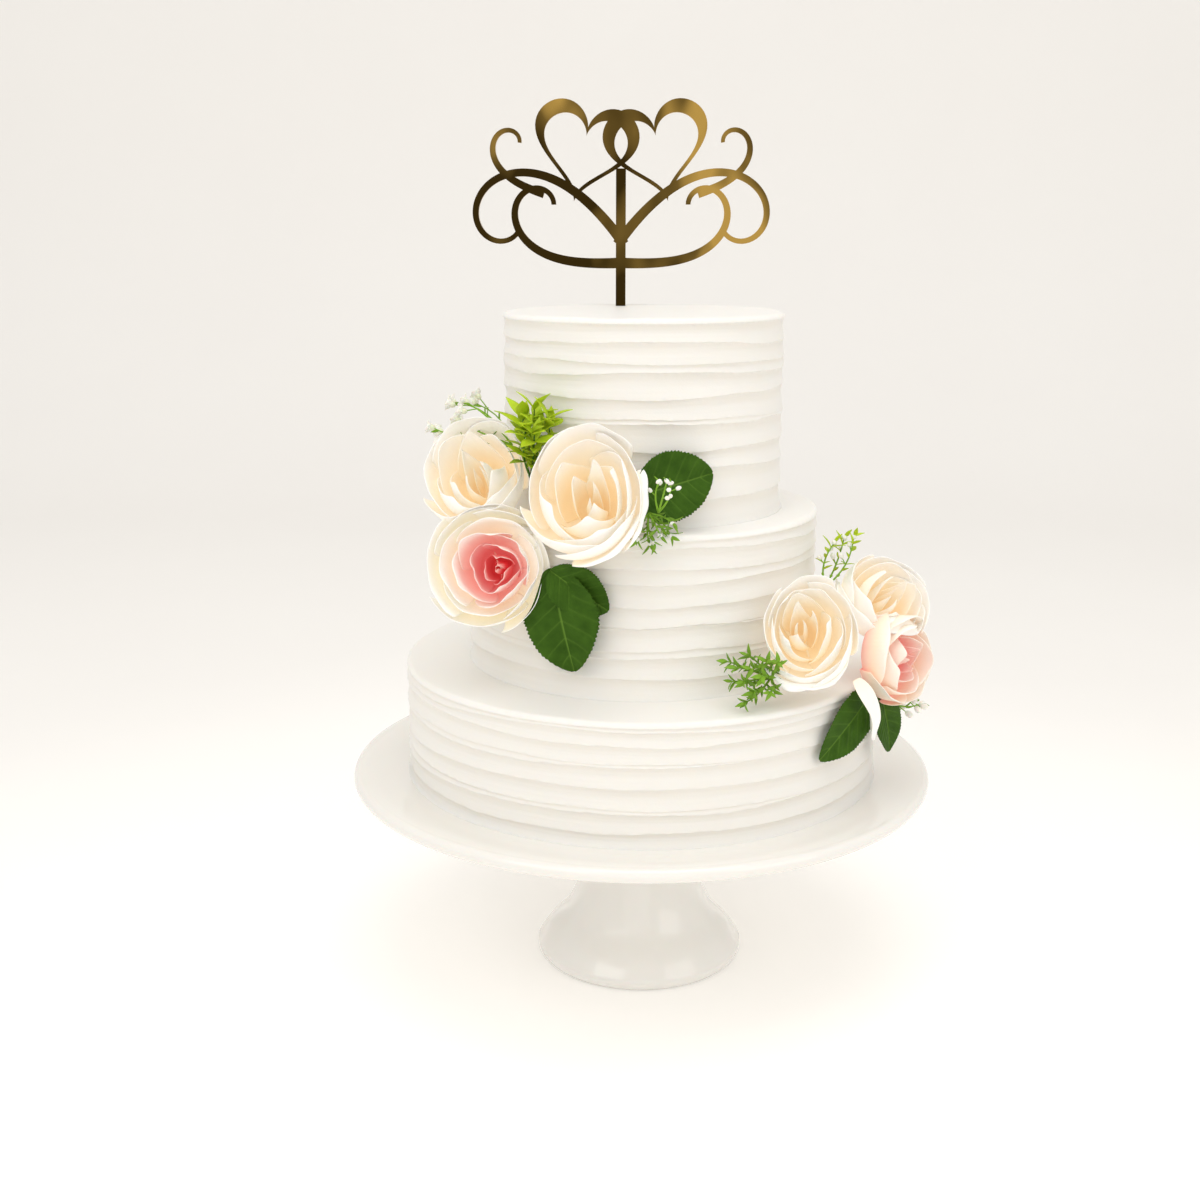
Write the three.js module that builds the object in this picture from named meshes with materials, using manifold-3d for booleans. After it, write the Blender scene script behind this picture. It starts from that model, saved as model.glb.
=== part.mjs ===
// Three-tier wedding cake with ridged buttercream, two sprays of fabric roses and
// a gold scrollwork topper, on a one-piece pedestal stand.
// Millimetres, +Z up, origin at the centre of the stand's foot, the cake's front towards -Y.
import * as THREE from "three";
import { mergeVertices } from "three/addons/utils/BufferGeometryUtils.js";
import Module from "manifold-3d";

const wasm = await Module();
wasm.setup();

// Stand
const STAND_HEIGHT = 127;
const PLATE_RADIUS = 177;
const PLATE_THICKNESS = 8;
const RIM_RISE = 2;
const FOOT_RADIUS = 64.5;
const NECK_RADIUS = 34;
const STAND_SEGMENTS = 40;

// Tiers, from the bottom up: iced radius, height and number of spatula strokes
const TIERS = [
  { name: "tier_bottom", radius: 143.5, height: 70.5, strokes: 5 },
  { name: "tier_middle", radius: 104.5, height: 92, strokes: 6 },
  { name: "tier_top", radius: 82.5, height: 113.5, strokes: 8 },
];
const TIER_SEGMENTS = 36;
const STROKE_DEPTH = 1.8;
const STROKE_WAVER = 1.3;
const TOP_EDGE = 4;
const BASE_TUCK = 1.5;

// Topper: a flat gold sheet cut to two linked hearts over scrolls, on one pick
const SHEET_THICKNESS = 3;
const TOPPER_X = -14;
const TOPPER_Y = 60;
const HEART_WIDTH = 64;
const HEART_BAND = 0.1;
const HEART_DROP = 1.8;
const HEART_SPREAD = 23;
const HEART_LEAN = 0.2;
const HEART_LIFT = 91;
const SCROLL_LENGTH = 158;
const SCROLL_WIDTH = 6.5;
const PICK_WIDTH = 6;
const PICK_DEPTH = 40;

// Roses: the forms of one bloom, as shares of its radius
const BLOOM_SEGMENTS = 22;
const BLOOM_LAYERS = 4;
const BLOOM_DEPTH = 1.15;
const PETAL_LOBE = 0.07;
const PETAL_STEP = 0.2;

// Leaves
const LEAF_THICKNESS = 0.9;
const LEAF_FOLD = 0.22;

// Clearance between neighbouring pieces
const GAP = 0.35;

const rad = THREE.MathUtils.degToRad;
const vec = (x, y, z) => new THREE.Vector3(x, y, z);

const finish = {
  icing: new THREE.MeshStandardMaterial({ color: 0xf7f4ec, roughness: 0.6 }),
  porcelain: new THREE.MeshStandardMaterial({ color: 0xefecea, roughness: 0.15 }),
  gold: new THREE.MeshStandardMaterial({ color: 0x9a6f1e, roughness: 0.08, metalness: 1 }),
  cream: new THREE.MeshStandardMaterial({ color: 0xfbe8cf, roughness: 0.7 }),
  blush: new THREE.MeshStandardMaterial({ color: 0xf3b7b0, roughness: 0.7 }),
  leaf: new THREE.MeshStandardMaterial({ color: 0x23531b, roughness: 0.55 }),
  sprig: new THREE.MeshStandardMaterial({ color: 0x7fb32a, roughness: 0.45 }),
  blossom: new THREE.MeshStandardMaterial({ color: 0xeef0dd, roughness: 0.5 }),
};

// A geometry with its shared corners joined and no triangle without area
function joined(geometry) {
  const bare = geometry.clone();
  bare.deleteAttribute("normal");
  bare.deleteAttribute("uv");
  const merged = mergeVertices(bare, 1e-3);
  const corners = Array.from(merged.index.array);
  const kept = [];
  for (let i = 0; i < corners.length; i += 3) {
    const [a, b, c] = corners.slice(i, i + 3);
    if (a !== b && b !== c && c !== a) kept.push(a, b, c);
  }
  merged.setIndex(kept);
  return merged;
}

// A closed geometry as a solid, and a solid as a geometry
function solidOf(geometry) {
  const merged = joined(geometry);
  return new wasm.Manifold(
    new wasm.Mesh({
      numProp: 3,
      vertProperties: new Float32Array(merged.attributes.position.array),
      triVerts: new Uint32Array(merged.index.array),
    }),
  );
}

function geometryOf(solid) {
  const mesh = solid.getMesh();
  const geometry = new THREE.BufferGeometry();
  geometry.setAttribute("position", new THREE.BufferAttribute(mesh.vertProperties, 3));
  geometry.setIndex(new THREE.BufferAttribute(mesh.triVerts, 1));
  return geometry;
}

const fused = (geometries) => geometries.map(solidOf).reduce((a, b) => a.add(b));

// The largest body of a solid, so that a loose scrap left by a cut is dropped
function mainBody(solid) {
  return solid.decompose().reduce((a, b) => (a.volume() > b.volume() ? a : b));
}

function meshOf(name, geometry, material) {
  const mesh = new THREE.Mesh(geometry, material);
  mesh.name = name;
  return mesh;
}

// A turned shape about +Z: form(ring, azimuth) gives the radius and height of each ring.
// Azimuth 0 is the front, and it grows towards +X.
function turned(rings, segments, form) {
  const profile = Array.from({ length: rings }, () => new THREE.Vector2(1, 0));
  const geometry = new THREE.LatheGeometry(profile, segments);
  const position = geometry.attributes.position;
  for (let i = 0; i < position.count; i++) {
    const ring = i % rings;
    const azimuth = ((Math.floor(i / rings) % segments) / segments) * 2 * Math.PI;
    const [radius, height] = form(ring, azimuth);
    position.setXYZ(i, radius * Math.sin(azimuth), height, radius * Math.cos(azimuth));
  }
  return joined(geometry.rotateX(Math.PI / 2));
}

// Stand: flat foot, trumpet pedestal, thin plate with a raised round rim
function standGeometry() {
  const underside = STAND_HEIGHT - PLATE_THICKNESS;
  const pedestal = new THREE.CatmullRomCurve3(
    [
      vec(FOOT_RADIUS, 7, 0),
      vec(FOOT_RADIUS * 0.9, 16, 0),
      vec(FOOT_RADIUS * 0.72, 29, 0),
      vec(NECK_RADIUS + 3, 52, 0),
      vec(NECK_RADIUS, 78, 0),
      vec(NECK_RADIUS + 8, 104, 0),
      vec(NECK_RADIUS + 26, underside - 1, 0),
    ],
    false,
    "centripetal",
  );
  const rimMiddle = STAND_HEIGHT + RIM_RISE - PLATE_THICKNESS / 2;
  const rim = [-60, -10, 40, 90].map((angle) =>
    vec(
      PLATE_RADIUS + (Math.cos(rad(angle)) - 1) * 3,
      rimMiddle + (Math.sin(rad(angle)) * PLATE_THICKNESS) / 2,
      0,
    ),
  );
  const outline = [
    vec(0, 0, 0),
    vec(FOOT_RADIUS - 5, 0, 0),
    vec(FOOT_RADIUS - 1, 2.5, 0),
    ...pedestal.getPoints(9),
    vec(PLATE_RADIUS * 0.8, underside, 0),
    ...rim,
    vec(PLATE_RADIUS * 0.9, STAND_HEIGHT, 0),
    vec(0, STAND_HEIGHT, 0),
  ];
  return turned(outline.length, STAND_SEGMENTS, (ring) => [outline[ring].x, outline[ring].y]);
}

// How far stroke line k of a tier wanders up or down at an azimuth
function waver(line, azimuth) {
  return (
    STROKE_WAVER *
    (Math.sin(2 * azimuth + 2.4 * line) + 0.6 * Math.sin(3 * azimuth + 4.1 * line + 1))
  );
}

// Tier: stacked strokes, each a shallow scoop between two raised lips, under a flat top
function tierGeometry({ radius, height, strokes }) {
  const pitch = height / strokes;
  const rings = [() => [0, 0], () => [radius - BASE_TUCK, 0]];
  for (let k = 0; k < strokes; k++) {
    const lift = (line, azimuth) => (line === 0 || line === strokes ? 0 : waver(line, azimuth));
    const scoop = (share) => (azimuth) => [
      radius - STROKE_DEPTH,
      (k + share) * pitch + (1 - share) * lift(k, azimuth) + share * lift(k + 1, azimuth),
    ];
    rings.push(scoop(0.3));
    if (k < strokes - 1) rings.push((azimuth) => [radius, (k + 1) * pitch + lift(k + 1, azimuth)]);
  }
  rings.push(() => [radius - 0.6, height - TOP_EDGE * 0.6]);
  rings.push(() => [radius - TOP_EDGE, height]);
  rings.push(() => [0, height]);
  return turned(rings.length, TIER_SEGMENTS, (ring, azimuth) => rings[ring](azimuth));
}

// The space that a tier takes up, out to its lips and a gap more
function tierEnvelope({ radius, height }) {
  return solidOf(
    new THREE.CylinderGeometry(radius + GAP, radius + GAP, height + 2 * GAP, 2 * TIER_SEGMENTS)
      .rotateX(Math.PI / 2)
      .translate(0, 0, height / 2),
  );
}

// A flat outline cut from the topper's sheet: x across, y up, standing in the XZ plane
function cutSheet(points, hole) {
  const shape = new THREE.Shape(points);
  if (hole) shape.holes.push(new THREE.Path(hole));
  const depth = SHEET_THICKNESS;
  return new THREE.ExtrudeGeometry(shape, { depth, steps: 1, bevelEnabled: false })
    .translate(0, 0, -depth / 2)
    .rotateX(Math.PI / 2);
}

// Heart outline, width 1 across at scale 1, about its own middle
function heartPoints(scale, lean, centre, steps = 24) {
  return Array.from({ length: steps }, (_, i) => {
    const t = (i / steps) * 2 * Math.PI;
    const x = -16 * Math.sin(t) ** 3;
    const y = 13 * Math.cos(t) - 5 * Math.cos(2 * t) - 2 * Math.cos(3 * t) - Math.cos(4 * t);
    return new THREE.Vector2(x, y + 2.5)
      .multiplyScalar(scale / 32)
      .rotateAround(new THREE.Vector2(), lean)
      .add(centre);
  });
}

// A scroll stroke: the centreline's tangent turns at a rising rate, so the line winds up
// into a curl, and its width tapers from the root to a fine tip.
function scrollPoints({ x, y, heading, length, firstTurn, lastTurn, width, steps }) {
  const left = [];
  const right = [];
  const at = new THREE.Vector2(x, y);
  let angle = heading;
  for (let i = 0; i <= steps; i++) {
    const share = i / steps;
    const half = (width / 2) * (1 - 0.55 * share);
    const side = new THREE.Vector2(-Math.sin(angle), Math.cos(angle)).multiplyScalar(half);
    left.push(at.clone().add(side));
    right.push(at.clone().sub(side));
    angle += (firstTurn + (lastTurn - firstTurn) * share ** 2) / steps;
    at.x += (Math.cos(angle) * length) / steps;
    at.y += (Math.sin(angle) * length) / steps;
  }
  return [...right, ...left.reverse()];
}

const mirrored = (points) => points.map((p) => new THREE.Vector2(-p.x, p.y)).reverse();

// Topper, standing on the cake's top at height 0, its pick running below that
function topperGeometry() {
  const hearts = [-1, 1].map((side) => {
    const lean = side * HEART_LEAN;
    const centre = new THREE.Vector2(side * HEART_SPREAD, HEART_LIFT);
    const drop = new THREE.Vector2(Math.sin(lean), -Math.cos(lean)).multiplyScalar(HEART_DROP);
    const outer = heartPoints(HEART_WIDTH, lean, centre);
    const inner = heartPoints(HEART_WIDTH * (1 - 2 * HEART_BAND), lean, centre.clone().add(drop));
    return cutSheet(outer, inner);
  });
  const width = SCROLL_WIDTH;
  const long = SCROLL_LENGTH;
  const scrolls = [
    { x: -2, y: 37, heading: 0.95, length: long, firstTurn: -0.9, lastTurn: -13.5, width, steps: 17 },
    { x: -2, y: 26, heading: -0.05, length: long * 0.76, firstTurn: 0.4, lastTurn: 13.5, width, steps: 15 },
    { x: 47, y: 67, heading: 0.3, length: long * 0.45, firstTurn: 0.6, lastTurn: 12.5, width: width * 0.8, steps: 11 },
  ].map(scrollPoints);
  const strokes = scrolls.flatMap((points) => [cutSheet(points), cutSheet(mirrored(points))]);
  const pickTop = 82;
  const pick = new THREE.BoxGeometry(PICK_WIDTH, SHEET_THICKNESS, pickTop + PICK_DEPTH);
  pick.translate(0, 0, (pickTop - PICK_DEPTH) / 2);
  return geometryOf(fused([pick, ...hearts, ...strokes]));
}

// The slot that the topper's pick makes in the top tier
function pickSlot(tierHeight) {
  const deep = PICK_DEPTH + GAP;
  return new THREE.BoxGeometry(PICK_WIDTH + 2 * GAP, SHEET_THICKNESS + 2 * GAP, deep + 10)
    .translate(TOPPER_X, TOPPER_Y, tierHeight + 10 / 2 - deep / 2);
}

// Rose bloom about +Z, its calyx at the back and its heart at the front: each layer of
// petals is a lobed lip with a trough inside it, stepping up and in to the closed bud.
function bloomGeometry(radius) {
  const depth = radius * BLOOM_DEPTH;
  const lobed = (layer, azimuth) =>
    1 + PETAL_LOBE * Math.abs(Math.cos(2.5 * azimuth + 1.3 * layer)) - PETAL_LOBE;
  const rings = [
    () => [0, -0.45 * depth],
    () => [0.3 * radius, -0.4 * depth],
    (azimuth) => [0.8 * radius * lobed(0, azimuth), -0.12 * depth],
  ];
  for (let layer = 0; layer < BLOOM_LAYERS; layer++) {
    const lip = 1 - PETAL_STEP * layer * (1 + 0.06 * layer);
    const rise = depth * (0.12 + 0.34 * Math.sin((layer / BLOOM_LAYERS) * 1.5));
    rings.push((azimuth) => [radius * lip * lobed(layer, azimuth), rise]);
    rings.push((azimuth) => [radius * (lip - 0.12) * lobed(layer, azimuth), rise - 0.1 * depth]);
  }
  rings.push(() => [0.1 * radius, 0.48 * depth]);
  rings.push(() => [0, 0.44 * depth]);
  return turned(rings.length, BLOOM_SEGMENTS, (ring, azimuth) => rings[ring](azimuth));
}

// A thin sheet between two like grids: bend(s, t) gives the middle face, s along 0 to 1
// and t across -1 to 1, and both faces are split into triangles alike.
function thinSheet(along, across, thickness, bend) {
  const plane = new THREE.PlaneGeometry(1, 2, along, across);
  const grid = plane.attributes.position;
  const count = grid.count;
  const points = [];
  for (const side of [0.5, -0.5]) {
    for (let i = 0; i < count; i++) {
      const p = bend(grid.getX(i) + 0.5, grid.getY(i));
      points.push(p.x, p.y, p.z + side * thickness);
    }
  }
  const top = Array.from(plane.index.array);
  const faces = [...top];
  for (let i = 0; i < top.length; i += 3) {
    faces.push(top[i] + count, top[i + 2] + count, top[i + 1] + count);
  }
  const row = along + 1;
  const edge = [];
  for (let i = 0; i < along; i++) edge.push(i);
  for (let j = 0; j < across; j++) edge.push(j * row + along);
  for (let i = along; i > 0; i--) edge.push(across * row + i);
  for (let j = across; j > 0; j--) edge.push(j * row);
  edge.forEach((a, i) => {
    const b = edge[(i + 1) % edge.length];
    faces.push(a, b, a + count, b, b + count, a + count);
  });
  const geometry = new THREE.BufferGeometry();
  geometry.setAttribute("position", new THREE.Float32BufferAttribute(points, 3));
  geometry.setIndex(faces);
  return geometry;
}

// Leaf along +X, face up +Z: oval with a drawn-out tip, folded a little along its midrib
function leafGeometry({ length, width, droop = 0.12 }) {
  return thinSheet(8, 4, LEAF_THICKNESS, (s, t) => {
    const half = (width / 2) * (0.05 + 2.3 * s ** 0.6 * (1 - s) ** 0.75);
    const y = half * t;
    const fold = LEAF_FOLD * Math.abs(y) * (1 - 0.5 * s);
    const wave = 0.04 * width * Math.sin(9 * s) * t * t;
    return vec(length * s, y, fold + wave - droop * length * s * s);
  });
}

// A drooping outer petal along +X: a narrow strip that widens, then folds under
function droopGeometry({ length, width }) {
  return thinSheet(7, 3, LEAF_THICKNESS, (s, t) => {
    const half = (width / 2) * (0.5 + 0.9 * Math.sin(Math.PI * s ** 0.7));
    const cup = 0.5 * half * (t * t - 0.4);
    return vec(length * s, half * t, cup + 0.1 * length * Math.sin(3.6 * s));
  });
}

// A straight piece of stem from a to b
function stemGeometry(a, b, radius) {
  const along = b.clone().sub(a);
  const turn = new THREE.Quaternion().setFromUnitVectors(vec(0, 1, 0), along.clone().normalize());
  return new THREE.CylinderGeometry(radius, radius, along.length(), 4)
    .applyQuaternion(turn)
    .translate(...a.clone().add(b).divideScalar(2).toArray());
}

// A spindle leaflet that points from a to b
function leafletGeometry(a, b, width) {
  const along = b.clone().sub(a);
  const turn = new THREE.Quaternion().setFromUnitVectors(vec(0, 1, 0), along.clone().normalize());
  return new THREE.OctahedronGeometry(1)
    .scale(width / 2, along.length() / 2, width / 4)
    .applyQuaternion(turn)
    .translate(...a.clone().add(b).divideScalar(2).toArray());
}

// The point at a share of a stem that leans away from +Z, turned by an azimuth
function stemPoint(azimuth, lean, length) {
  return new THREE.Vector3().setFromSphericalCoords(length, lean, azimuth).applyAxisAngle(vec(1, 0, 0), Math.PI / 2);
}

// Blossom sprig along +Z: a fan of thin stems, each with a round bloom and a side bud
function blossomSprig({ length, stems, fan, bloom }) {
  const pieces = [];
  for (let i = 0; i < stems; i++) {
    const azimuth = 2.4 * i;
    const lean = fan * Math.sqrt((i + 0.5) / stems);
    const tip = stemPoint(azimuth, lean, length * (1 - 0.22 * ((i * 0.618) % 1)));
    const root = tip.clone().multiplyScalar(-0.04);
    pieces.push(stemGeometry(root, tip, 0.8));
    pieces.push(new THREE.OctahedronGeometry(bloom, bloom > 3 ? 1 : 0).translate(...tip.toArray()));
    const fork = tip.clone().multiplyScalar(0.66);
    const bud = fork.clone().add(stemPoint(azimuth + 2, fan + 0.5, length * 0.2));
    pieces.push(leafletGeometry(fork.clone().multiplyScalar(0.98), bud, bloom));
  }
  return geometryOf(mainBody(fused(pieces)));
}

// Leafy sprig along +Z: stems that carry whorls of narrow leaflets, the longest at the tip
function leafySprig({ length, stems, fan, whorls, leaflets, leaf }) {
  const pieces = [];
  for (let i = 0; i < stems; i++) {
    const lean = stems > 1 ? fan * Math.sqrt((i + 0.3) / stems) : 0;
    const tip = stemPoint(2.4 * i, lean, length * (1 - 0.3 * ((i * 0.618) % 1)));
    const along = tip.clone().normalize();
    const side = vec(0.3, 1, 0.1).cross(along).normalize();
    pieces.push(stemGeometry(tip.clone().multiplyScalar(-0.04), tip, 0.8));
    for (let w = 0; w < whorls; w++) {
      const from = tip.clone().multiplyScalar(1 - 0.28 * w);
      for (let k = 0; k < leaflets; k++) {
        const turn = (k / leaflets) * 2 * Math.PI + 0.9 * w + i;
        const out = side.clone().applyAxisAngle(along, turn).multiplyScalar(leaf * 0.8);
        const to = from.clone().add(out).addScaledVector(along, leaf * (0.75 - 0.15 * w));
        pieces.push(leafletGeometry(from.clone().addScaledVector(along, -0.6), to, leaf * 0.34));
      }
    }
  }
  return geometryOf(mainBody(fused(pieces)));
}

// A point round the cake: azimuth from the front in degrees, distance from the axis, height
function polar([azimuth, distance, height]) {
  return vec(distance * Math.sin(rad(azimuth)), -distance * Math.cos(rad(azimuth)), height);
}

function settle(mesh, at, x, y, z) {
  mesh.position.copy(at);
  mesh.quaternion.setFromRotationMatrix(new THREE.Matrix4().makeBasis(x, y, z));
  mesh.updateMatrix();
  return mesh;
}

// Sets a bloom's heart towards an azimuth and a lift above level
function faceBloom(mesh, { at, facing, lift }) {
  const out = polar([facing, Math.cos(rad(lift)), Math.sin(rad(lift))]);
  const right = polar([facing + 90, 1, 0]);
  return settle(mesh, polar(at), right, out.clone().cross(right), out);
}

// Lays a leaf from its root to its tip with its face turned out from the cake, or to an azimuth
function layLeaf(mesh, { from, to, face = (from[0] + to[0]) / 2 }) {
  const root = polar(from);
  const along = polar(to).sub(root).normalize();
  const out = polar([face, 1, 0]);
  const across = out.cross(along).normalize();
  return settle(mesh, root, along, across, along.clone().cross(across));
}

// Stands a sprig from its root towards its tip
function standSprig(mesh, { from, to }) {
  const root = polar(from);
  const along = polar(to).sub(root).normalize();
  const side = polar([from[0] + 90, 1, 0]);
  const out = along.clone().cross(side).normalize();
  return settle(mesh, root, out.clone().cross(along), out, along);
}

const span = ({ from, to }) => polar(from).distanceTo(polar(to));

// Cuts a placed mesh back from solids that stand in the same frame
function trim(mesh, cutters) {
  const back = mesh.matrix.clone().invert().elements;
  const cut = cutters.reduce((s, c) => s.subtract(c.transform(back)), solidOf(mesh.geometry));
  mesh.geometry = geometryOf(mainBody(cut));
  return mesh;
}

// The space round a placed mesh that its neighbours keep out of: its hull and a gap more
function grown(mesh, reach) {
  const share = 1 + (2 * GAP) / reach;
  return solidOf(mesh.geometry).hull().scale(share).transform(mesh.matrix.elements);
}

// The cake on its stand
const cake = new THREE.Group();
cake.add(meshOf("cake_stand", standGeometry(), finish.porcelain));

const envelopes = [];
let level = STAND_HEIGHT;
for (const tier of TIERS) {
  tier.level = level;
  const mesh = meshOf(tier.name, tierGeometry(tier), finish.icing);
  mesh.position.z = level;
  cake.add(mesh);
  envelopes.push(tierEnvelope(tier).translate(0, 0, level));
  level += tier.height;
  tier.mesh = mesh;
}
const [bottom, middle, top] = TIERS;
envelopes.push(solidOf(standGeometry()).translate(0, 0, GAP));

top.mesh.geometry = geometryOf(
  solidOf(top.mesh.geometry).subtract(solidOf(pickSlot(top.height))),
);
const topper = meshOf("topper", topperGeometry(), finish.gold);
topper.position.set(TOPPER_X, TOPPER_Y, level);
cake.add(topper);

// Left spray, on the middle tier's ledge and down its side; right spray, on the bottom
// tier's ledge and over its edge. Points are azimuth, distance from the axis and height.
const ROSES = [
  { name: "rose_left_cream", tone: "cream", radius: 37, at: [-15.5, 115.5, 313], facing: -4, lift: 36 },
  { name: "rose_left_blush", tone: "blush", radius: 36, at: [-43.5, 122, 268.5], facing: -8, lift: 13 },
  { name: "rose_left_back", tone: "cream", radius: 34, at: [-55.5, 112, 315], facing: -12, lift: 40 },
  { name: "rose_right_cream", tone: "cream", radius: 31, at: [42, 137, 236], facing: -8, lift: 38 },
  { name: "rose_right_blush", tone: "blush", radius: 27, at: [67, 157, 211], facing: 50, lift: 8 },
  { name: "rose_right_back", tone: "cream", radius: 29, at: [71, 147, 241], facing: 30, lift: 38 },
];

const LEAVES = [
  { name: "leaf_left_upper", width: 40, from: [-8, 106, 311], to: [25, 95, 322] },
  { name: "leaf_left_lower", width: 48, from: [-26, 111, 271], to: [-19.5, 117, 215] },
  { name: "leaf_left_small", width: 29, from: [-25, 108, 271], to: [-9.5, 108.5, 249] },
  { name: "leaf_right_front", width: 30, from: [61, 151, 196], to: [42.5, 151, 167], face: 30 },
  { name: "leaf_right_back", width: 26, from: [65, 151, 194], to: [70, 160, 152], face: 48 },
];

const DROOP = { name: "petal_right_droop", width: 9, from: [51, 152, 208], to: [58, 157, 169] };

const SPRIGS = [
  {
    name: "sprig_left_blossom", tone: "blossom", from: [-56, 88.5, 331], to: [-79, 112, 346],
    build: (length) => blossomSprig({ length, stems: 5, fan: 0.55, bloom: 4 }),
  },
  {
    name: "sprig_left_fern", tone: "sprig", from: [-42, 92, 315], to: [-35, 98, 352],
    build: (length) => leafySprig({ length, stems: 3, fan: 0.4, whorls: 2, leaflets: 3, leaf: 15 }),
  },
  {
    name: "sprig_left_buds", tone: "blossom", from: [4.5, 111.5, 304], to: [7, 113, 325],
    build: (length) => blossomSprig({ length, stems: 3, fan: 0.4, bloom: 2.4 }),
  },
  {
    name: "sprig_left_tuft", tone: "sprig", from: [2, 108, 303], to: [5.5, 116, 288],
    build: (length) => leafySprig({ length, stems: 2, fan: 0.8, whorls: 2, leaflets: 3, leaf: 9 }),
  },
  {
    name: "sprig_right_top", tone: "sprig", from: [62, 118, 250], to: [69, 124, 279],
    build: (length) => leafySprig({ length, stems: 2, fan: 0.4, whorls: 2, leaflets: 3, leaf: 8 }),
  },
  {
    name: "sprig_right_low", tone: "sprig", from: [34, 127, 212], to: [24, 138, 220],
    build: (length) => leafySprig({ length, stems: 3, fan: 1, whorls: 2, leaflets: 3, leaf: 12 }),
  },
  {
    name: "sprig_right_beads", tone: "blossom", from: [78, 150, 176], to: [81, 170, 178],
    build: (length) => blossomSprig({ length, stems: 3, fan: 0.7, bloom: 2.6 }),
  },
];

const spray = new THREE.Group();
cake.add(spray);
const taken = [...envelopes];

for (const rose of ROSES) {
  const mesh = faceBloom(meshOf(rose.name, bloomGeometry(rose.radius), finish[rose.tone]), rose);
  trim(mesh, taken);
  taken.push(grown(mesh, rose.radius));
  spray.add(mesh);
}

const petal = droopGeometry({ length: span(DROOP), width: DROOP.width });
const droop = layLeaf(meshOf(DROOP.name, petal, finish.cream), DROOP);
trim(droop, taken);
taken.push(grown(droop, DROOP.width));
spray.add(droop);

for (const leaf of LEAVES) {
  const blade = leafGeometry({ length: span(leaf), width: leaf.width });
  const mesh = layLeaf(meshOf(leaf.name, blade, finish.leaf), leaf);
  trim(mesh, taken);
  taken.push(grown(mesh, leaf.width));
  spray.add(mesh);
}

for (const sprig of SPRIGS) {
  const mesh = standSprig(meshOf(sprig.name, sprig.build(span(sprig)), finish[sprig.tone]), sprig);
  trim(mesh, taken);
  taken.push(solidOf(mesh.geometry).transform(mesh.matrix.elements));
  spray.add(mesh);
}

export default cake;
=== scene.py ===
"""Three-tier wedding cake in ridged ivory buttercream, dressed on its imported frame.

Two sprays of fabric roses, leaves and sprigs lie on the ledges, a gold sheet topper stands
in the top tier, and the whole stands on a porcelain pedestal stand. Lengths are millimetres
until a mesh is made. Azimuths are degrees from the front (-Y), growing towards +X.
"""
import logging
import math
from dataclasses import dataclass, field
from enum import Enum
from typing import Iterable, Optional, Sequence

import bpy
import numpy as np
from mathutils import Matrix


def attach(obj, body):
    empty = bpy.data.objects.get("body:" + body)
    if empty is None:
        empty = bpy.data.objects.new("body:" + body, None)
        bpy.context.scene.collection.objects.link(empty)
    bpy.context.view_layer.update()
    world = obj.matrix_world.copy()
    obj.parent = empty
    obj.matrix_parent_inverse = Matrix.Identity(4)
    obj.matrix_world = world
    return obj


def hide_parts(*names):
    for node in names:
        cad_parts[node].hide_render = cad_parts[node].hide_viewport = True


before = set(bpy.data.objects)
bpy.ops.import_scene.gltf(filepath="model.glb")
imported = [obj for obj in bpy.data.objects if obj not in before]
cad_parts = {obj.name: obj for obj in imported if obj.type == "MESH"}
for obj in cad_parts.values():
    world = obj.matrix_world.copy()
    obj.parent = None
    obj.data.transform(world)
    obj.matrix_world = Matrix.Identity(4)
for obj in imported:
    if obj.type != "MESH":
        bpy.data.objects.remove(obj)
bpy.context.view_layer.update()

MM = 0.001
BODY = "root"
LOG = logging.getLogger("cake")
Array = np.ndarray
Colour = tuple[float, float, float]
Socket = bpy.types.NodeSocket
WHITE: Colour = (1.0, 1.0, 1.0)
LAMP_TINT: Colour = (1.0, 0.985, 0.96)
GOLDEN_ANGLE = 2.4
ANY_TURN = 6.28


class Slot(Enum):
    """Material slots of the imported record."""

    ICING = "icing"
    PORCELAIN = "porcelain"
    GOLD = "gold"
    CREAM = "petals_cream"
    BLUSH = "petals_blush"
    LEAF = "leaf_fabric"
    SPRIG = "sprig_green"
    BLOSSOM = "blossom_white"


class Tone(Enum):
    """Colourings of the roses."""

    CREAM = "cream"
    BLUSH = "blush"
    FLUSH = "flush"

    @property
    def slot(self) -> Slot:
        """The slot of the record that a colouring takes."""
        return Slot.CREAM if self is Tone.CREAM else Slot.BLUSH


def smooth(x: Array, low: float, high: float) -> Array:
    """Ease from 0 at low to 1 at high: 3t^2 - 2t^3 of the clipped share t."""
    t = np.clip((x - low) / (high - low), 0.0, 1.0)
    return t * t * (3.0 - 2.0 * t)


def polar(azimuth: float, distance: float, height: float) -> Array:
    """Point at an azimuth, a distance from the axis and a height."""
    a = math.radians(azimuth)
    return np.array([distance * math.sin(a), -distance * math.cos(a), height])


def unit(v: Array) -> Array:
    """Vectors scaled to length 1 along the last axis."""
    return v / np.maximum(np.linalg.norm(v, axis=-1, keepdims=True), 1e-9)


def circle(count: int) -> Array:
    """Angles in radians of evenly spaced points round a circle."""
    return np.arange(count) / count * 2 * math.pi


def ripple(angle: Array, rng: np.random.Generator, low: int, high: int, fall: float = 0.7) -> Array:
    """Closed wavy line: sines of whole orders low to high with random phases, about unit rms.

    Args:
        angle: angles round the cake in radians.
        rng: source of the phases.
        low: lowest whole order.
        high: highest whole order.
        fall: power by which an order's share falls off.

    Returns:
        One value for each angle.
    """
    orders = np.arange(low, high + 1)
    phases = rng.uniform(0.0, 2.0 * math.pi, len(orders))
    shares = orders ** -fall
    waves = np.sin(angle[..., None] * orders + phases) * shares
    return waves.sum(-1) / math.sqrt(0.5 * float((shares ** 2).sum()))


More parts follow.
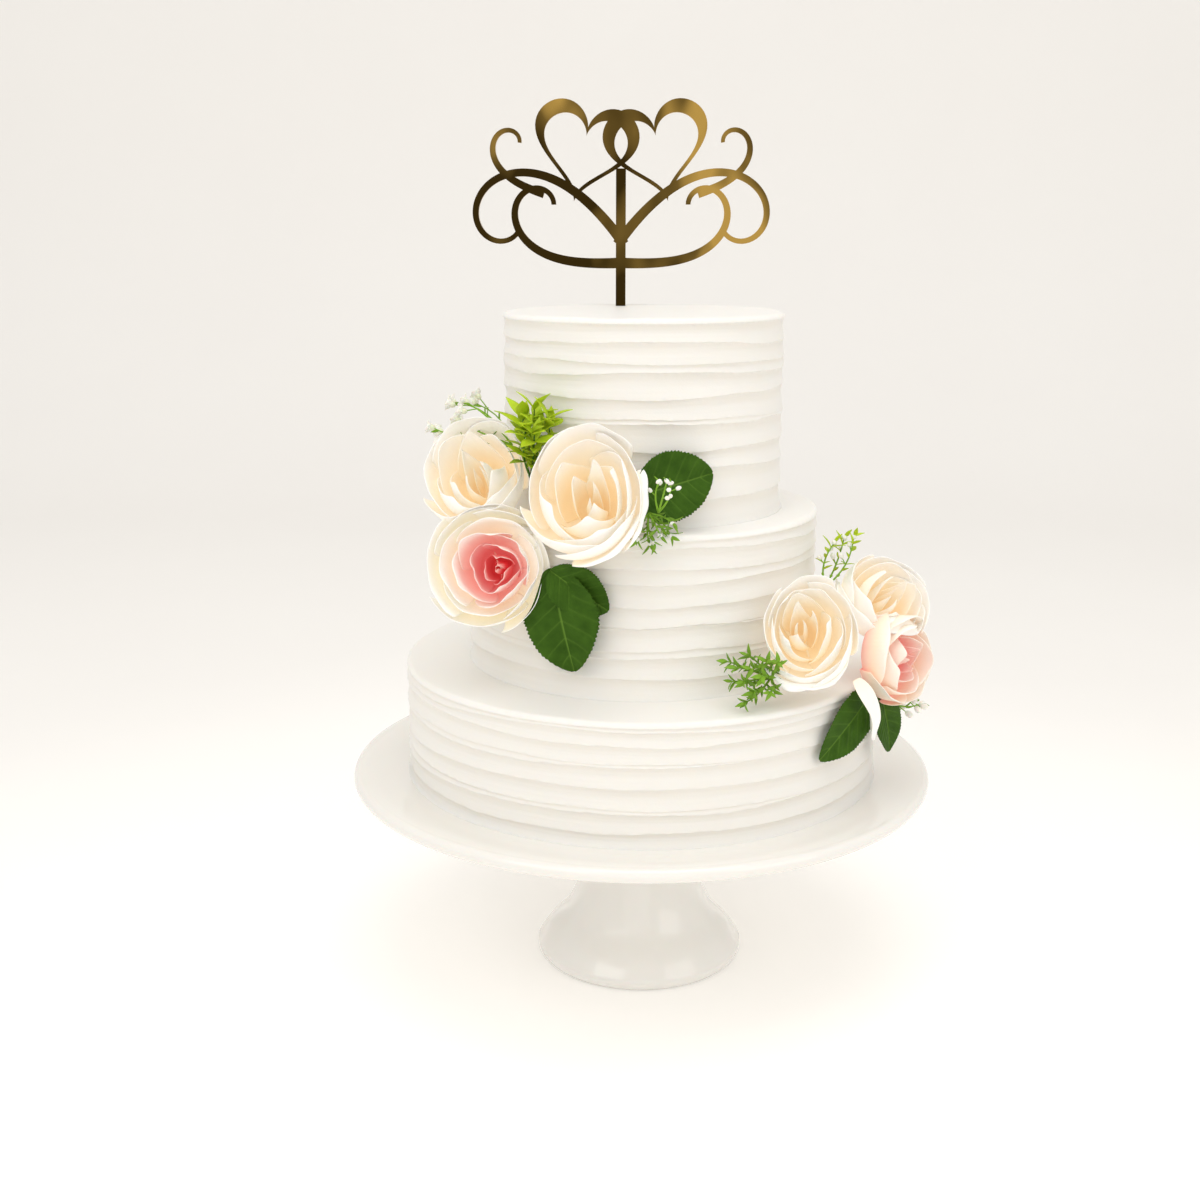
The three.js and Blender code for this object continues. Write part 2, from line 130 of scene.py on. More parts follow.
@dataclass
class MeshData:
    """Points in millimetres, faces and named values per point, before they become a mesh."""

    points: Array
    quads: Array = field(default_factory=lambda: np.zeros((0, 4), int))
    tris: Array = field(default_factory=lambda: np.zeros((0, 3), int))
    values: dict[str, Array] = field(default_factory=dict)

    @staticmethod
    def joined(parts: Sequence["MeshData"]) -> "MeshData":
        """Put parts into one, with their faces renumbered.

        Args:
            parts: the parts, all with the same named values.

        Returns:
            The joined data.
        """
        starts = np.cumsum([0] + [len(p.points) for p in parts[:-1]])
        return MeshData(
            np.concatenate([p.points for p in parts]),
            np.concatenate([p.quads + s for p, s in zip(parts, starts)]),
            np.concatenate([p.tris + s for p, s in zip(parts, starts)]),
            {k: np.concatenate([p.values[k] for p in parts]) for k in parts[0].values},
        )

    def tinted(self, colour: Colour) -> "MeshData":
        """Give every point the same tint."""
        self.values["tint"] = np.tile(np.array(colour, float), (len(self.points), 1))
        return self

    def to_object(self, name: str) -> bpy.types.Object:
        """Make a Blender object at the origin with smooth faces.

        Args:
            name: the piece's name.

        Returns:
            The new object, linked to the scene.
        """
        mesh = bpy.data.meshes.new(name)
        mesh.vertices.add(len(self.points))
        mesh.vertices.foreach_set("co", (self.points * MM).astype(np.float32).ravel())
        corners = np.concatenate([self.quads.ravel(), self.tris.ravel()]).astype(np.int32)
        first = 4 * len(self.quads)
        starts = np.concatenate(
            [4 * np.arange(len(self.quads)), first + 3 * np.arange(len(self.tris))]
        ).astype(np.int32)
        mesh.loops.add(len(corners))
        mesh.loops.foreach_set("vertex_index", corners)
        mesh.polygons.add(len(starts))
        mesh.polygons.foreach_set("loop_start", starts)
        mesh.polygons.foreach_set("use_smooth", np.ones(len(starts), bool))
        for key, value in self.values.items():
            if value.ndim == 2:
                layer = mesh.attributes.new(key, "FLOAT_COLOR", "POINT")
                rgba = np.concatenate([value, np.ones((len(value), 1))], axis=1)
                layer.data.foreach_set("color", rgba.astype(np.float32).ravel())
            else:
                layer = mesh.attributes.new(key, "FLOAT", "POINT")
                layer.data.foreach_set("value", value.astype(np.float32))
        mesh.update(calc_edges=True)
        mesh.validate()
        obj = bpy.data.objects.new(name, mesh)
        bpy.context.collection.objects.link(obj)
        return obj


def grid_quads(rows: int, cols: int, wrap: bool = False) -> Array:
    """Quads of a grid whose point r, c is number r * cols + c.

    Args:
        rows: number of rows.
        cols: number of columns.
        wrap: join the last column to the first.

    Returns:
        Quads that face up when rows run up and columns run to the right.
    """
    r, c = np.meshgrid(np.arange(rows - 1), np.arange(cols if wrap else cols - 1), indexing="ij")
    n = (c + 1) % cols
    quads = np.stack([r * cols + c, r * cols + n, (r + 1) * cols + n, (r + 1) * cols + c], -1)
    return quads.reshape(-1, 4)


def turned(radius: Array, height: Array, angle: Array) -> MeshData:
    """Surface turned about the axis, closed by a point on the axis at each end.

    Point (row, column) is (r sin a, -r cos a, h), with r and h given for every row and column.

    Args:
        radius: rows by columns of distances from the axis, from the bottom up.
        height: rows by columns of heights.
        angle: the columns' angles in radians.

    Returns:
        The closed surface.
    """
    rows, cols = radius.shape
    points = np.stack([radius * np.sin(angle), -radius * np.cos(angle), height], -1).reshape(-1, 3)
    foot = [[0.0, 0.0, height[0].mean()]]
    head = [[0.0, 0.0, height[-1].mean()]]
    c = np.arange(cols)
    n = (c + 1) % cols
    last = (rows - 1) * cols
    under = np.stack([n, c, np.full(cols, rows * cols)], -1)
    over = np.stack([last + c, last + n, np.full(cols, rows * cols + 1)], -1)
    return MeshData(
        np.concatenate([points, foot, head]),
        grid_quads(rows, cols, wrap=True),
        np.concatenate([under, over]),
    )


def shell(middle: Array, thickness: float, values: Optional[dict[str, Array]] = None) -> MeshData:
    """Thin closed sheet: a grid moved half its thickness each way along its normals, edges joined.

    Args:
        middle: rows by columns by 3, the middle face.
        thickness: thickness in millimetres.
        values: named values per grid point, carried to both faces.

    Returns:
        The closed sheet.
    """
    rows, cols, _ = middle.shape
    normal = unit(np.cross(np.gradient(middle, axis=1), np.gradient(middle, axis=0)))
    top = (middle + 0.5 * thickness * normal).reshape(-1, 3)
    low = (middle - 0.5 * thickness * normal).reshape(-1, 3)
    count = rows * cols
    face = grid_quads(rows, cols)
    index = np.arange(count).reshape(rows, cols)
    edge = np.concatenate([index[0, :-1], index[:-1, -1], index[-1, :0:-1], index[:0:-1, 0]])
    after = np.roll(edge, -1)
    rim = np.stack([edge, edge + count, after + count, after], -1)
    quads = np.concatenate([face, face[:, ::-1] + count, rim])
    both = {k: np.concatenate([v.ravel(), v.ravel()]) for k, v in (values or {}).items()}
    return MeshData(np.concatenate([top, low]), quads, values=both)


def tube(path: Array, radius: Array, sides: int = 6) -> MeshData:
    """Round stem: a circle carried along a path, closed at both ends.

    Args:
        path: points along the stem.
        radius: radius at each point.
        sides: sides of the circle.

    Returns:
        The closed stem.
    """
    along = unit(np.gradient(path, axis=0))
    helper = np.array([0.31, 0.22, 0.92])
    across = unit(np.cross(along, helper))
    other = np.cross(along, across)
    a = circle(sides)
    ring = np.cos(a)[None, :, None] * across[:, None] + np.sin(a)[None, :, None] * other[:, None]
    points = (path[:, None] + radius[:, None, None] * ring).reshape(-1, 3)
    count = len(points)
    c = np.arange(sides)
    n = (c + 1) % sides
    last = count - sides
    ends = np.concatenate(
        [
            np.stack([n, c, np.full(sides, count)], -1),
            np.stack([last + c, last + n, np.full(sides, count + 1)], -1),
        ]
    )
    return MeshData(
        np.concatenate([points, path[:1], path[-1:]]), grid_quads(len(path), sides, wrap=True), ends
    )


def bead(centre: Array, radii: Array, axis: Array, rows: int = 7, cols: int = 8) -> MeshData:
    """Egg-shaped bead: circles of radius sin t at heights -cos t, stretched along an axis.

    Args:
        centre: middle of the bead.
        radii: half width and half length.
        axis: direction of its length.
        rows: circles from end to end.
        cols: points on a circle.

    Returns:
        The closed bead.
    """
    t = np.linspace(0.25, math.pi - 0.25, rows)
    path = centre + np.outer(-np.cos(t), unit(axis)) * radii[1]
    return tube(path, np.sin(t) * radii[0], cols)


@dataclass(frozen=True)
class Shader:
    """Small helper that adds nodes to one material."""

    material: bpy.types.Material

    @staticmethod
    def new(name: str) -> "Shader":
        """Make a material with its standard shader."""
        material = bpy.data.materials.new(name)
        material.use_nodes = True
        return Shader(material)

    @property
    def surface(self) -> bpy.types.Node:
        """The standard shader node."""
        return self.material.node_tree.nodes["Principled BSDF"]

    def set(self, **values: object) -> None:
        """Set sockets of the standard shader by name, with _ for a space."""
        for key, value in values.items():
            self.surface.inputs[key.replace("_", " ")].default_value = value

    def node(self, kind: str, inputs: Optional[dict] = None, **settings: object) -> bpy.types.Node:
        """Add a node.

        Args:
            kind: Blender's node type.
            inputs: socket name or number to a value, or to a socket to link from.
            settings: properties of the node.

        Returns:
            The new node.
        """
        node = self.material.node_tree.nodes.new(kind)
        for key, value in settings.items():
            setattr(node, key, value)
        for key, value in (inputs or {}).items():
            if isinstance(value, Socket):
                self.material.node_tree.links.new(value, node.inputs[key])
            else:
                node.inputs[key].default_value = value
        return node

    def link(self, socket: Socket, name: str) -> None:
        """Link a socket to the standard shader."""
        self.material.node_tree.links.new(socket, self.surface.inputs[name])

    def value(self, name: str) -> Socket:
        """A named value of the mesh."""
        return self.node("ShaderNodeAttribute", attribute_name=name).outputs["Fac"]

    def tint(self, name: str) -> Socket:
        """A named colour of the mesh."""
        return self.node("ShaderNodeAttribute", attribute_name=name).outputs["Color"]

    def noise(self, scale: float, detail: float = 3.0, stretch: Colour = WHITE) -> Socket:
        """Noise on Object coordinates.

        Args:
            scale: grains per metre.
            detail: octaves.
            stretch: scale along each axis.

        Returns:
            The noise value.
        """
        where = self.node("ShaderNodeTexCoord").outputs["Object"]
        mapped = self.node("ShaderNodeMapping", {"Vector": where, "Scale": stretch})
        return self.node(
            "ShaderNodeTexNoise", {"Vector": mapped.outputs[0], "Scale": scale, "Detail": detail}
        ).outputs["Fac"]

    def math(self, kind: str, a: object, b: object = 0.0) -> Socket:
        """Blender's math node of the given kind on two values or sockets."""
        return self.node("ShaderNodeMath", {0: a, 1: b}, operation=kind).outputs[0]

    def mix(self, share: object, a: object, b: object, blend: str = "MIX") -> Socket:
        """Mix two colours or colour sockets by a share."""
        pair = [(*c, 1.0) if isinstance(c, tuple) else c for c in (a, b)]
        node = self.node("ShaderNodeMix", data_type="RGBA", blend_type=blend)
        for socket, value in zip((node.inputs[0], node.inputs[6], node.inputs[7]), (share, *pair)):
            if isinstance(value, Socket):
                self.material.node_tree.links.new(value, socket)
            else:
                socket.default_value = value
        return node.outputs[2]

    def ramp(self, share: Socket, stops: Sequence[tuple[float, Colour]]) -> Socket:
        """Colour ramp over a value.

        Args:
            share: the value.
            stops: place and colour of each stop.

        Returns:
            The colour.
        """
        node = self.node("ShaderNodeValToRGB", {"Fac": share})
        while len(node.color_ramp.elements) < len(stops):
            node.color_ramp.elements.new(0.5)
        for element, (place, colour) in zip(node.color_ramp.elements, stops):
            element.position = place
            element.color = (*colour, 1.0)
        return node.outputs["Color"]

    def bump(self, height: Socket, depth: float, strength: float = 1.0) -> None:
        """Fine relief of the surface, depth in millimetres."""
        node = self.node(
            "ShaderNodeBump", {"Height": height, "Distance": depth * MM, "Strength": strength}
        )
        self.link(node.outputs[0], "Normal")


@dataclass(frozen=True)
class IcingFinish:
    """Ivory buttercream: soft sheen, light goes a little way in, and painted shade: a darker warm tone
    mixed into the colour in the scoops under the lips and on the walls.
    """

    pale: Colour = (0.862, 0.846, 0.812)
    painted_shade: Colour = (0.795, 0.757, 0.688)
    roughness: float = 0.46
    depth: float = 2.5

    def material(self) -> bpy.types.Material:
        """Build the material."""
        s = Shader.new("buttercream")
        # painted shade: the pale icing colour is mixed towards a darker warm tone in the scoops under
        # the lips and on the walls
        s.link(s.mix(s.value("recess_shade"), self.pale, self.painted_shade), "Base Color")
        s.set(
            Roughness=self.roughness,
            Subsurface_Weight=0.25,
            Subsurface_Scale=self.depth * MM,
            Subsurface_Radius=(1.0, 0.75, 0.5),
            Specular_IOR_Level=0.35,
        )
        grain = s.math("ADD", s.noise(900, 3, (1, 1, 2.5)), s.noise(160, 2, (1, 1, 3)))
        s.bump(grain, 0.12, 0.5)
        return s.material


@dataclass(frozen=True)
class GlazeFinish:
    """White glazed porcelain."""

    pale: Colour = (0.835, 0.817, 0.78)
    grey: Colour = (0.815, 0.795, 0.75)

    def material(self) -> bpy.types.Material:
        """Build the material."""
        s = Shader.new("porcelain_glaze")
        s.link(s.mix(s.noise(9, 2), self.grey, self.pale), "Base Color")
        s.set(Roughness=0.16, Coat_Weight=0.6, Coat_Roughness=0.04, Subsurface_Weight=0.08)
        s.set(Subsurface_Scale=2.0 * MM)
        s.bump(s.noise(60, 1), 0.05, 0.3)
        return s.material


@dataclass(frozen=True)
class GoldFinish:
    """Gold mirror sheet with painted reflection: noise bands of dark bronze and gold in the colour
    stand in for a dim room seen in the mirror.
    """

    dark: Colour
    light: Colour
    roughness: float

    def material(self, name: str) -> bpy.types.Material:
        """Build the material under a name."""
        s = Shader.new(name)
        half = tuple(0.3 * a + 0.25 * b for a, b in zip(self.light, self.dark))
        stops = [(0.42, self.dark), (0.55, half), (0.66, self.light)]
        # painted reflection: noise bands from the dark colour to the light one in the base colour
        s.link(s.ramp(s.noise(26, 2, (1, 1, 0.6)), stops), "Base Color")
        s.set(Metallic=1.0, Roughness=self.roughness)
        s.bump(s.noise(18, 1), 0.12, 0.4)
        return s.material


@dataclass(frozen=True)
class PetalFinish:
    """Silk petals: a colour from root to rim for the heart and another for the guard petals; the
    darker, warmer roots are partly the petals' own peach or pink and partly painted shade deep in the
    bloom.

    A faint emission glow, strongest at the roots, is painted light that stands in for light coming
    through the cloth from behind.
    """

    name: str
    heart: tuple[Colour, Colour, Colour]
    middle: tuple[Colour, Colour, Colour]
    guard: tuple[Colour, Colour, Colour]
    glow: float = 0.18

    def material(self) -> bpy.types.Material:
        """Build the material: stops run along the petal, and layer mixes heart to guard."""
        s = Shader.new(self.name)
        along = s.math("ADD", s.value("along"), s.math("MULTIPLY", s.noise(70, 2), 0.12))
        heart, middle, guard = (
            s.ramp(along, list(zip((0.42, 0.78, 1.06), stops)))
            for stops in (self.heart, self.middle, self.guard)
        )
        layer = s.value("layer")
        inner = s.node("ShaderNodeMapRange", {0: layer, 1: 0.12, 2: 0.55}).outputs[0]
        outer = s.node("ShaderNodeMapRange", {0: layer, 1: 0.5, 2: 0.8}).outputs[0]
        colour = s.mix(outer, s.mix(inner, heart, middle), guard)
        s.link(colour, "Base Color")
        # painted light: the petal colour as an emission, full up to mid-petal and fading towards the
        # rims
        fade = s.ramp(along, [(0.5, WHITE), (1.06, (0.25, 0.25, 0.25))])
        s.link(s.mix(1.0, colour, fade, "MULTIPLY"), "Emission Color")
        s.set(
            Roughness=0.75,
            Emission_Strength=self.glow,
            Subsurface_Weight=0.1,
            Subsurface_Scale=0.6 * MM,
            Subsurface_Radius=(1.0, 0.7, 0.45),
            Specular_IOR_Level=0.2,
        )
        ribs = s.math("SINE", s.math("MULTIPLY", s.value("across"), 60.0))
        weave = s.math("ADD", s.math("MULTIPLY", ribs, 0.15), s.noise(1500, 2))
        s.bump(weave, 0.12, 0.5)
        return s.material


@dataclass(frozen=True)
class LeafFinish:
    """Dark printed fabric leaf with paler veins."""

    dark: Colour = (0.016, 0.05, 0.002)
    light: Colour = (0.06, 0.14, 0.012)
    vein: Colour = (0.12, 0.23, 0.03)

    def material(self) -> bpy.types.Material:
        """Build the material."""
        s = Shader.new("leaf_print")
        blade = s.mix(s.noise(120, 4), self.dark, self.light)
        s.link(s.mix(s.value("vein"), blade, self.vein), "Base Color")
        s.set(Roughness=0.55, Specular_IOR_Level=0.08)
        height = s.math("SUBTRACT", s.noise(1100, 2), s.value("vein"))
        s.bump(height, 0.2, 0.6)
        return s.material


@dataclass(frozen=True)
class SprigFinish:
    """Moulded sprigs: the tint of each piece with a little mottling."""

    name: str
    dull: float = 0.75

    def material(self) -> bpy.types.Material:
        """Build the material."""
        s = Shader.new(self.name)
        patch = s.mix(s.noise(260, 3), (self.dull,) * 3, WHITE)
        s.link(s.mix(1.0, s.tint("tint"), patch, "MULTIPLY"), "Base Color")
        s.set(Roughness=0.5, Specular_IOR_Level=0.25)
        s.set(Subsurface_Weight=0.1, Subsurface_Scale=0.4 * MM)
        s.bump(s.noise(900, 2), 0.1, 0.4)
        return s.material


def place_piece(
    piece: bpy.types.Object, nodes: Iterable[str], materials: Sequence[bpy.types.Material]
) -> None:
    """Dress a piece, tie it to the cake and let it stand for its nodes.

    Args:
        piece: the new object.
        nodes: nodes that it replaces.
        materials: its materials in slot order.
    """
    for material in materials:
        piece.data.materials.append(material)
    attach(piece, BODY)
    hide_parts(*nodes)
    LOG.info("%s: %d faces", piece.name, len(piece.data.polygons))


@dataclass
class Stand:
    """Pedestal stand: flat foot with a rounded edge, trumpet neck, plate with a low rolled rim."""

    height: float = 127.0
    plate: float = 177.0
    thick: float = 8.0
    rise: float = 2.0
    foot: float = 64.5
    neck: float = 34.0
    columns: int = 192

    def outline(self) -> Array:
        """Radius and height of the profile from the base's middle to the plate's middle.

        The neck is a smooth curve through set points, and the rim is three quarters of an oval.
        """
        under = self.height - self.thick
        knots = np.array(
            [
                (self.foot, 7.0), (self.foot * 0.9, 16.0), (self.foot * 0.72, 29.0),
                (self.neck + 3, 52.0), (self.neck, 78.0), (self.neck + 8, 104.0),
                (self.neck + 26, under - 1.0),
            ]
        )
        gaps = np.linalg.norm(np.diff(knots, axis=0), axis=1)
        share = np.concatenate([[0], np.cumsum(gaps ** 0.5)])
        fine = np.linspace(0, share[-1], 60)
        neck = np.stack([self.spline(share, knots[:, i], fine) for i in (0, 1)], -1)
        a = np.radians(np.linspace(-90, -5, 9))
        edge = np.stack([self.foot - 5 + 5 * np.cos(a), 6 + 6 * np.sin(a)], -1)
        flare = np.stack(
            [np.linspace(self.neck + 30, self.plate - 9, 10), np.full(10, under)], -1
        )
        b = np.radians(np.linspace(-80, 100, 16))
        middle = self.height + self.rise - self.thick / 2
        rim = np.stack([self.plate - 4 + 4 * np.cos(b), middle + self.thick / 2 * np.sin(b)], -1)
        c = np.linspace(0, 1, 10)
        dish = np.stack(
            [self.plate - 6 - 22 * c, self.height + self.rise * (1 - smooth(c, 0, 1))], -1
        )
        top = np.stack([np.linspace(self.plate - 32, 2, 8), np.full(8, self.height)], -1)
        base = np.stack([np.array([2.0, 30.0, 52.0, self.foot - 6]), np.zeros(4)], -1)
        return np.concatenate([base, edge, neck, flare, rim, dish, top])

    @staticmethod
    def spline(knots: Array, values: Array, at: Array) -> Array:
        """Smooth curve through the knots: cubic pieces with mean slopes at the knots."""
        slope = np.gradient(values, knots)
        i = np.clip(np.searchsorted(knots, at, side="right") - 1, 0, len(knots) - 2)
        h = knots[i + 1] - knots[i]
        t = (at - knots[i]) / h
        a = (1 + 2 * t) * (1 - t) ** 2 * values[i] + t * (1 - t) ** 2 * h * slope[i]
        return a + t * t * (3 - 2 * t) * values[i + 1] + t * t * (t - 1) * h * slope[i + 1]

    def build(self) -> None:
        """Build and dress the stand."""
        outline = self.outline()
        angle = circle(self.columns)
        wide = np.ones(self.columns)
        data = turned(np.outer(outline[:, 0], wide), np.outer(outline[:, 1], wide), angle)
        piece = data.to_object("porcelain_stand")
        place_piece(piece, ["cake_stand"], [GlazeFinish().material()])


@dataclass
class Tier:
    """Iced tier: bands of spatula strokes between wavering lips under a smooth flat top.

    The grid's rows follow the lips. In a band, share t runs from the lower lip (0) to the upper
    one (1), and the surface is scooped in by depth * t^1.4 (1 - t)^0.65, deepest under the upper
    lip. Fine drag lines run round the band, and the lips are a little ragged.
    """

    node: str
    radius: float
    base: float
    height: float
    lines: tuple[float, ...]
    seed: int
    columns: int = 600
    round_edge: float = 3.0
    edge_rows: int = 8
    top_rows: int = 25

    def lips(self, angle: Array, rng: np.random.Generator) -> Array:
        """Heights of the lips, lines by columns: set heights with a slow and a quick waver."""
        rows = []
        for share in self.lines:
            inner = 0.0 if share in (0.0, 1.0) else 1.0
            wave = 1.0 * ripple(angle, rng, 1, 4, 0.5) + 0.28 * ripple(angle, rng, 5, 14, 0.8)
            wave += 0.07 * ripple(angle, rng, 15, 60, 0.3)
            rows.append(share * (self.height - self.round_edge) + inner * wave)
        lips = np.array(rows)
        for k in range(1, len(lips)):
            lips[k] = np.maximum(lips[k], lips[k - 1] + 0.35)
        return self.base + np.minimum(lips, self.height - self.round_edge)

    def build(self, finish: bpy.types.Material) -> None:
        """Build and dress the tier."""
        rng = np.random.default_rng(self.seed)
        angle = circle(self.columns)
        lips = self.lips(angle, rng)
        swell = 0.35 * ripple(angle, rng, 1, 7)
        radius, height, recess_shade = [], [], []
        for k in range(len(lips) - 1):
            tall = lips[k + 1] - lips[k]
            count = 20 if self.lines[k + 1] - self.lines[k] > 0.07 else 9
            share = 0.5 - 0.5 * np.cos(np.linspace(0, math.pi, count))
            t = (share[:-1] if k < len(lips) - 2 else share)[:, None]
            scoop = t ** 1.4 * (1 - t) ** 0.65 / 0.4
            deep = np.clip(0.11 * tall + 0.25, 0.1, 1.75) * (1 + 0.22 * ripple(angle, rng, 2, 12))
            h = lips[k] + t * tall
            drag = sum(
                0.07 * np.sin(2 * math.pi * (h - self.base) / gap + 1.2 * ripple(angle, rng, 1, 6))
                for gap in (1.3, 2.1, 3.7)
            )
            at_lip = np.exp(-((1 - np.abs(2 * t - 1)) / 0.1))
            ragged = 0.11 * ripple(angle, rng, 30, 140, 0.2) * at_lip
            lean = 0.25 * ripple(angle, rng, 1, 5)
            foot = 0.9 * np.exp(-(h - self.base) / 1.1)
            out = self.radius - 0.3 + swell + foot + lean * (t * (1 - t) * 4)
            radius.append(out - deep * scoop + drag * scoop + ragged)
            height.append(np.where(h < self.base + 0.01, h - 0.5, h))
            # painted shade: the walls take a quarter of the darker tone, and more in the scoop under
            # each lip
            recess_shade.append(0.25 + 0.75 * scoop * smooth(t, 0.35, 0.95) + 0 * h)
        self.crown(radius, height, recess_shade, angle, rng)
        data = turned(np.concatenate(radius), np.concatenate(height), angle)
        data.values["recess_shade"] = np.concatenate([np.concatenate(recess_shade).ravel(), [0.2, 0.2]])
        piece = data.to_object("icing_" + self.node)
        place_piece(piece, [self.node], [finish])

    def crown(
        self, radius: list[Array], height: list[Array], recess_shade: list[Array], angle: Array,
        rng: np.random.Generator,
    ) -> None:
        """Add the rounded top edge and the flat top, faintly uneven from smoothing.

        Args:
            radius: rows of radii so far, added to.
            height: rows of heights so far, added to.
            recess_shade: rows of painted-shade shares so far, added to.
            angle: the columns' angles.
            rng: source of the waves.
        """
        edge = radius[-1][-1]
        top = self.base + self.height
        a = np.radians(np.linspace(12, 90, self.edge_rows))[:, None]
        uneven = 0.18 * ripple(angle, rng, 2, 14)
        radius.append(edge - self.round_edge * (1 - np.cos(a)))
        height.append(height[-1][-1] + (top - height[-1][-1] + uneven) * np.sin(a))
        r = np.linspace(1, 0.02, self.top_rows + 1)[1:, None] * (edge - self.round_edge)
        swirl = 0.12 * np.sin(r / 4.1 + angle + 1.5 * ripple(angle, rng, 1, 4))
        fade = smooth(r, 3.0, 30.0)
        radius.append(r)
        height.append(top + (uneven * (r / self.radius) ** 6 + swirl) * fade - 0.15)
        # the rounded edge and the flat top get no painted shade, so they stay pale
        recess_shade.append(np.zeros((self.edge_rows + self.top_rows, len(angle))))


@dataclass(frozen=True)
class Whorl:
    """One ring of petals, lengths as shares of the bloom's radius.

    A petal's midline is a Bezier curve from the calyx out to the belly and up to the rim, and
    roll turns its last part outwards. Its rim is at 1 - taper |u|^power of the midline, u being
    -1 to 1 over the angle wrap to each side, with a small tip in the middle.
    """

    count: int
    belly: float
    rim: float
    height: float
    wrap: float
    roll: float
    taper: float
    power: float
    tip: float
    ruffle: float


GARDEN = (
    Whorl(2, 0.13, 0.05, 0.40, 66, 0.00, 0.62, 1.1, 0.06, 0.010),
    Whorl(3, 0.28, 0.20, 0.48, 66, 0.03, 0.60, 1.15, 0.12, 0.016),
    Whorl(3, 0.50, 0.42, 0.46, 68, 0.05, 0.54, 1.3, 0.12, 0.022),
    Whorl(4, 0.68, 0.62, 0.36, 64, 0.05, 0.42, 1.6, 0.07, 0.026),
    Whorl(5, 0.84, 0.82, 0.30, 56, 0.07, 0.28, 2.6, 0.02, 0.026),
)
RUFFLED = (
    Whorl(2, 0.10, 0.02, 0.26, 100, 0.00, 0.40, 1.4, 0.04, 0.034),
    Whorl(3, 0.20, 0.15, 0.31, 66, 0.04, 0.42, 1.5, 0.03, 0.036),
    Whorl(3, 0.34, 0.31, 0.33, 72, 0.06, 0.40, 1.6, 0.03, 0.040),
    Whorl(4, 0.49, 0.50, 0.29, 62, 0.08, 0.36, 1.8, 0.03, 0.040),
    Whorl(4, 0.66, 0.70, 0.25, 62, 0.07, 0.34, 2.0, 0.02, 0.036),
    Whorl(5, 0.82, 0.88, 0.20, 54, 0.05, 0.28, 2.6, 0.01, 0.020),
)
CLOSED = (
    Whorl(2, 0.13, 0.05, 0.38, 62, 0.00, 0.58, 1.15, 0.05, 0.010),
    Whorl(3, 0.28, 0.20, 0.44, 66, 0.03, 0.54, 1.3, 0.05, 0.014),
    Whorl(3, 0.48, 0.40, 0.46, 74, 0.05, 0.44, 1.6, 0.05, 0.018),
    Whorl(4, 0.70, 0.62, 0.50, 66, 0.07, 0.36, 2.0, 0.05, 0.020),
    Whorl(5, 0.86, 0.82, 0.42, 54, 0.10, 0.32, 2.4, 0.03, 0.022),
)
REFLEXED = Whorl(1, 0.84, 0.94, 0.0, 40, 0.13, 0.30, 2.6, 0.02, 0.030)


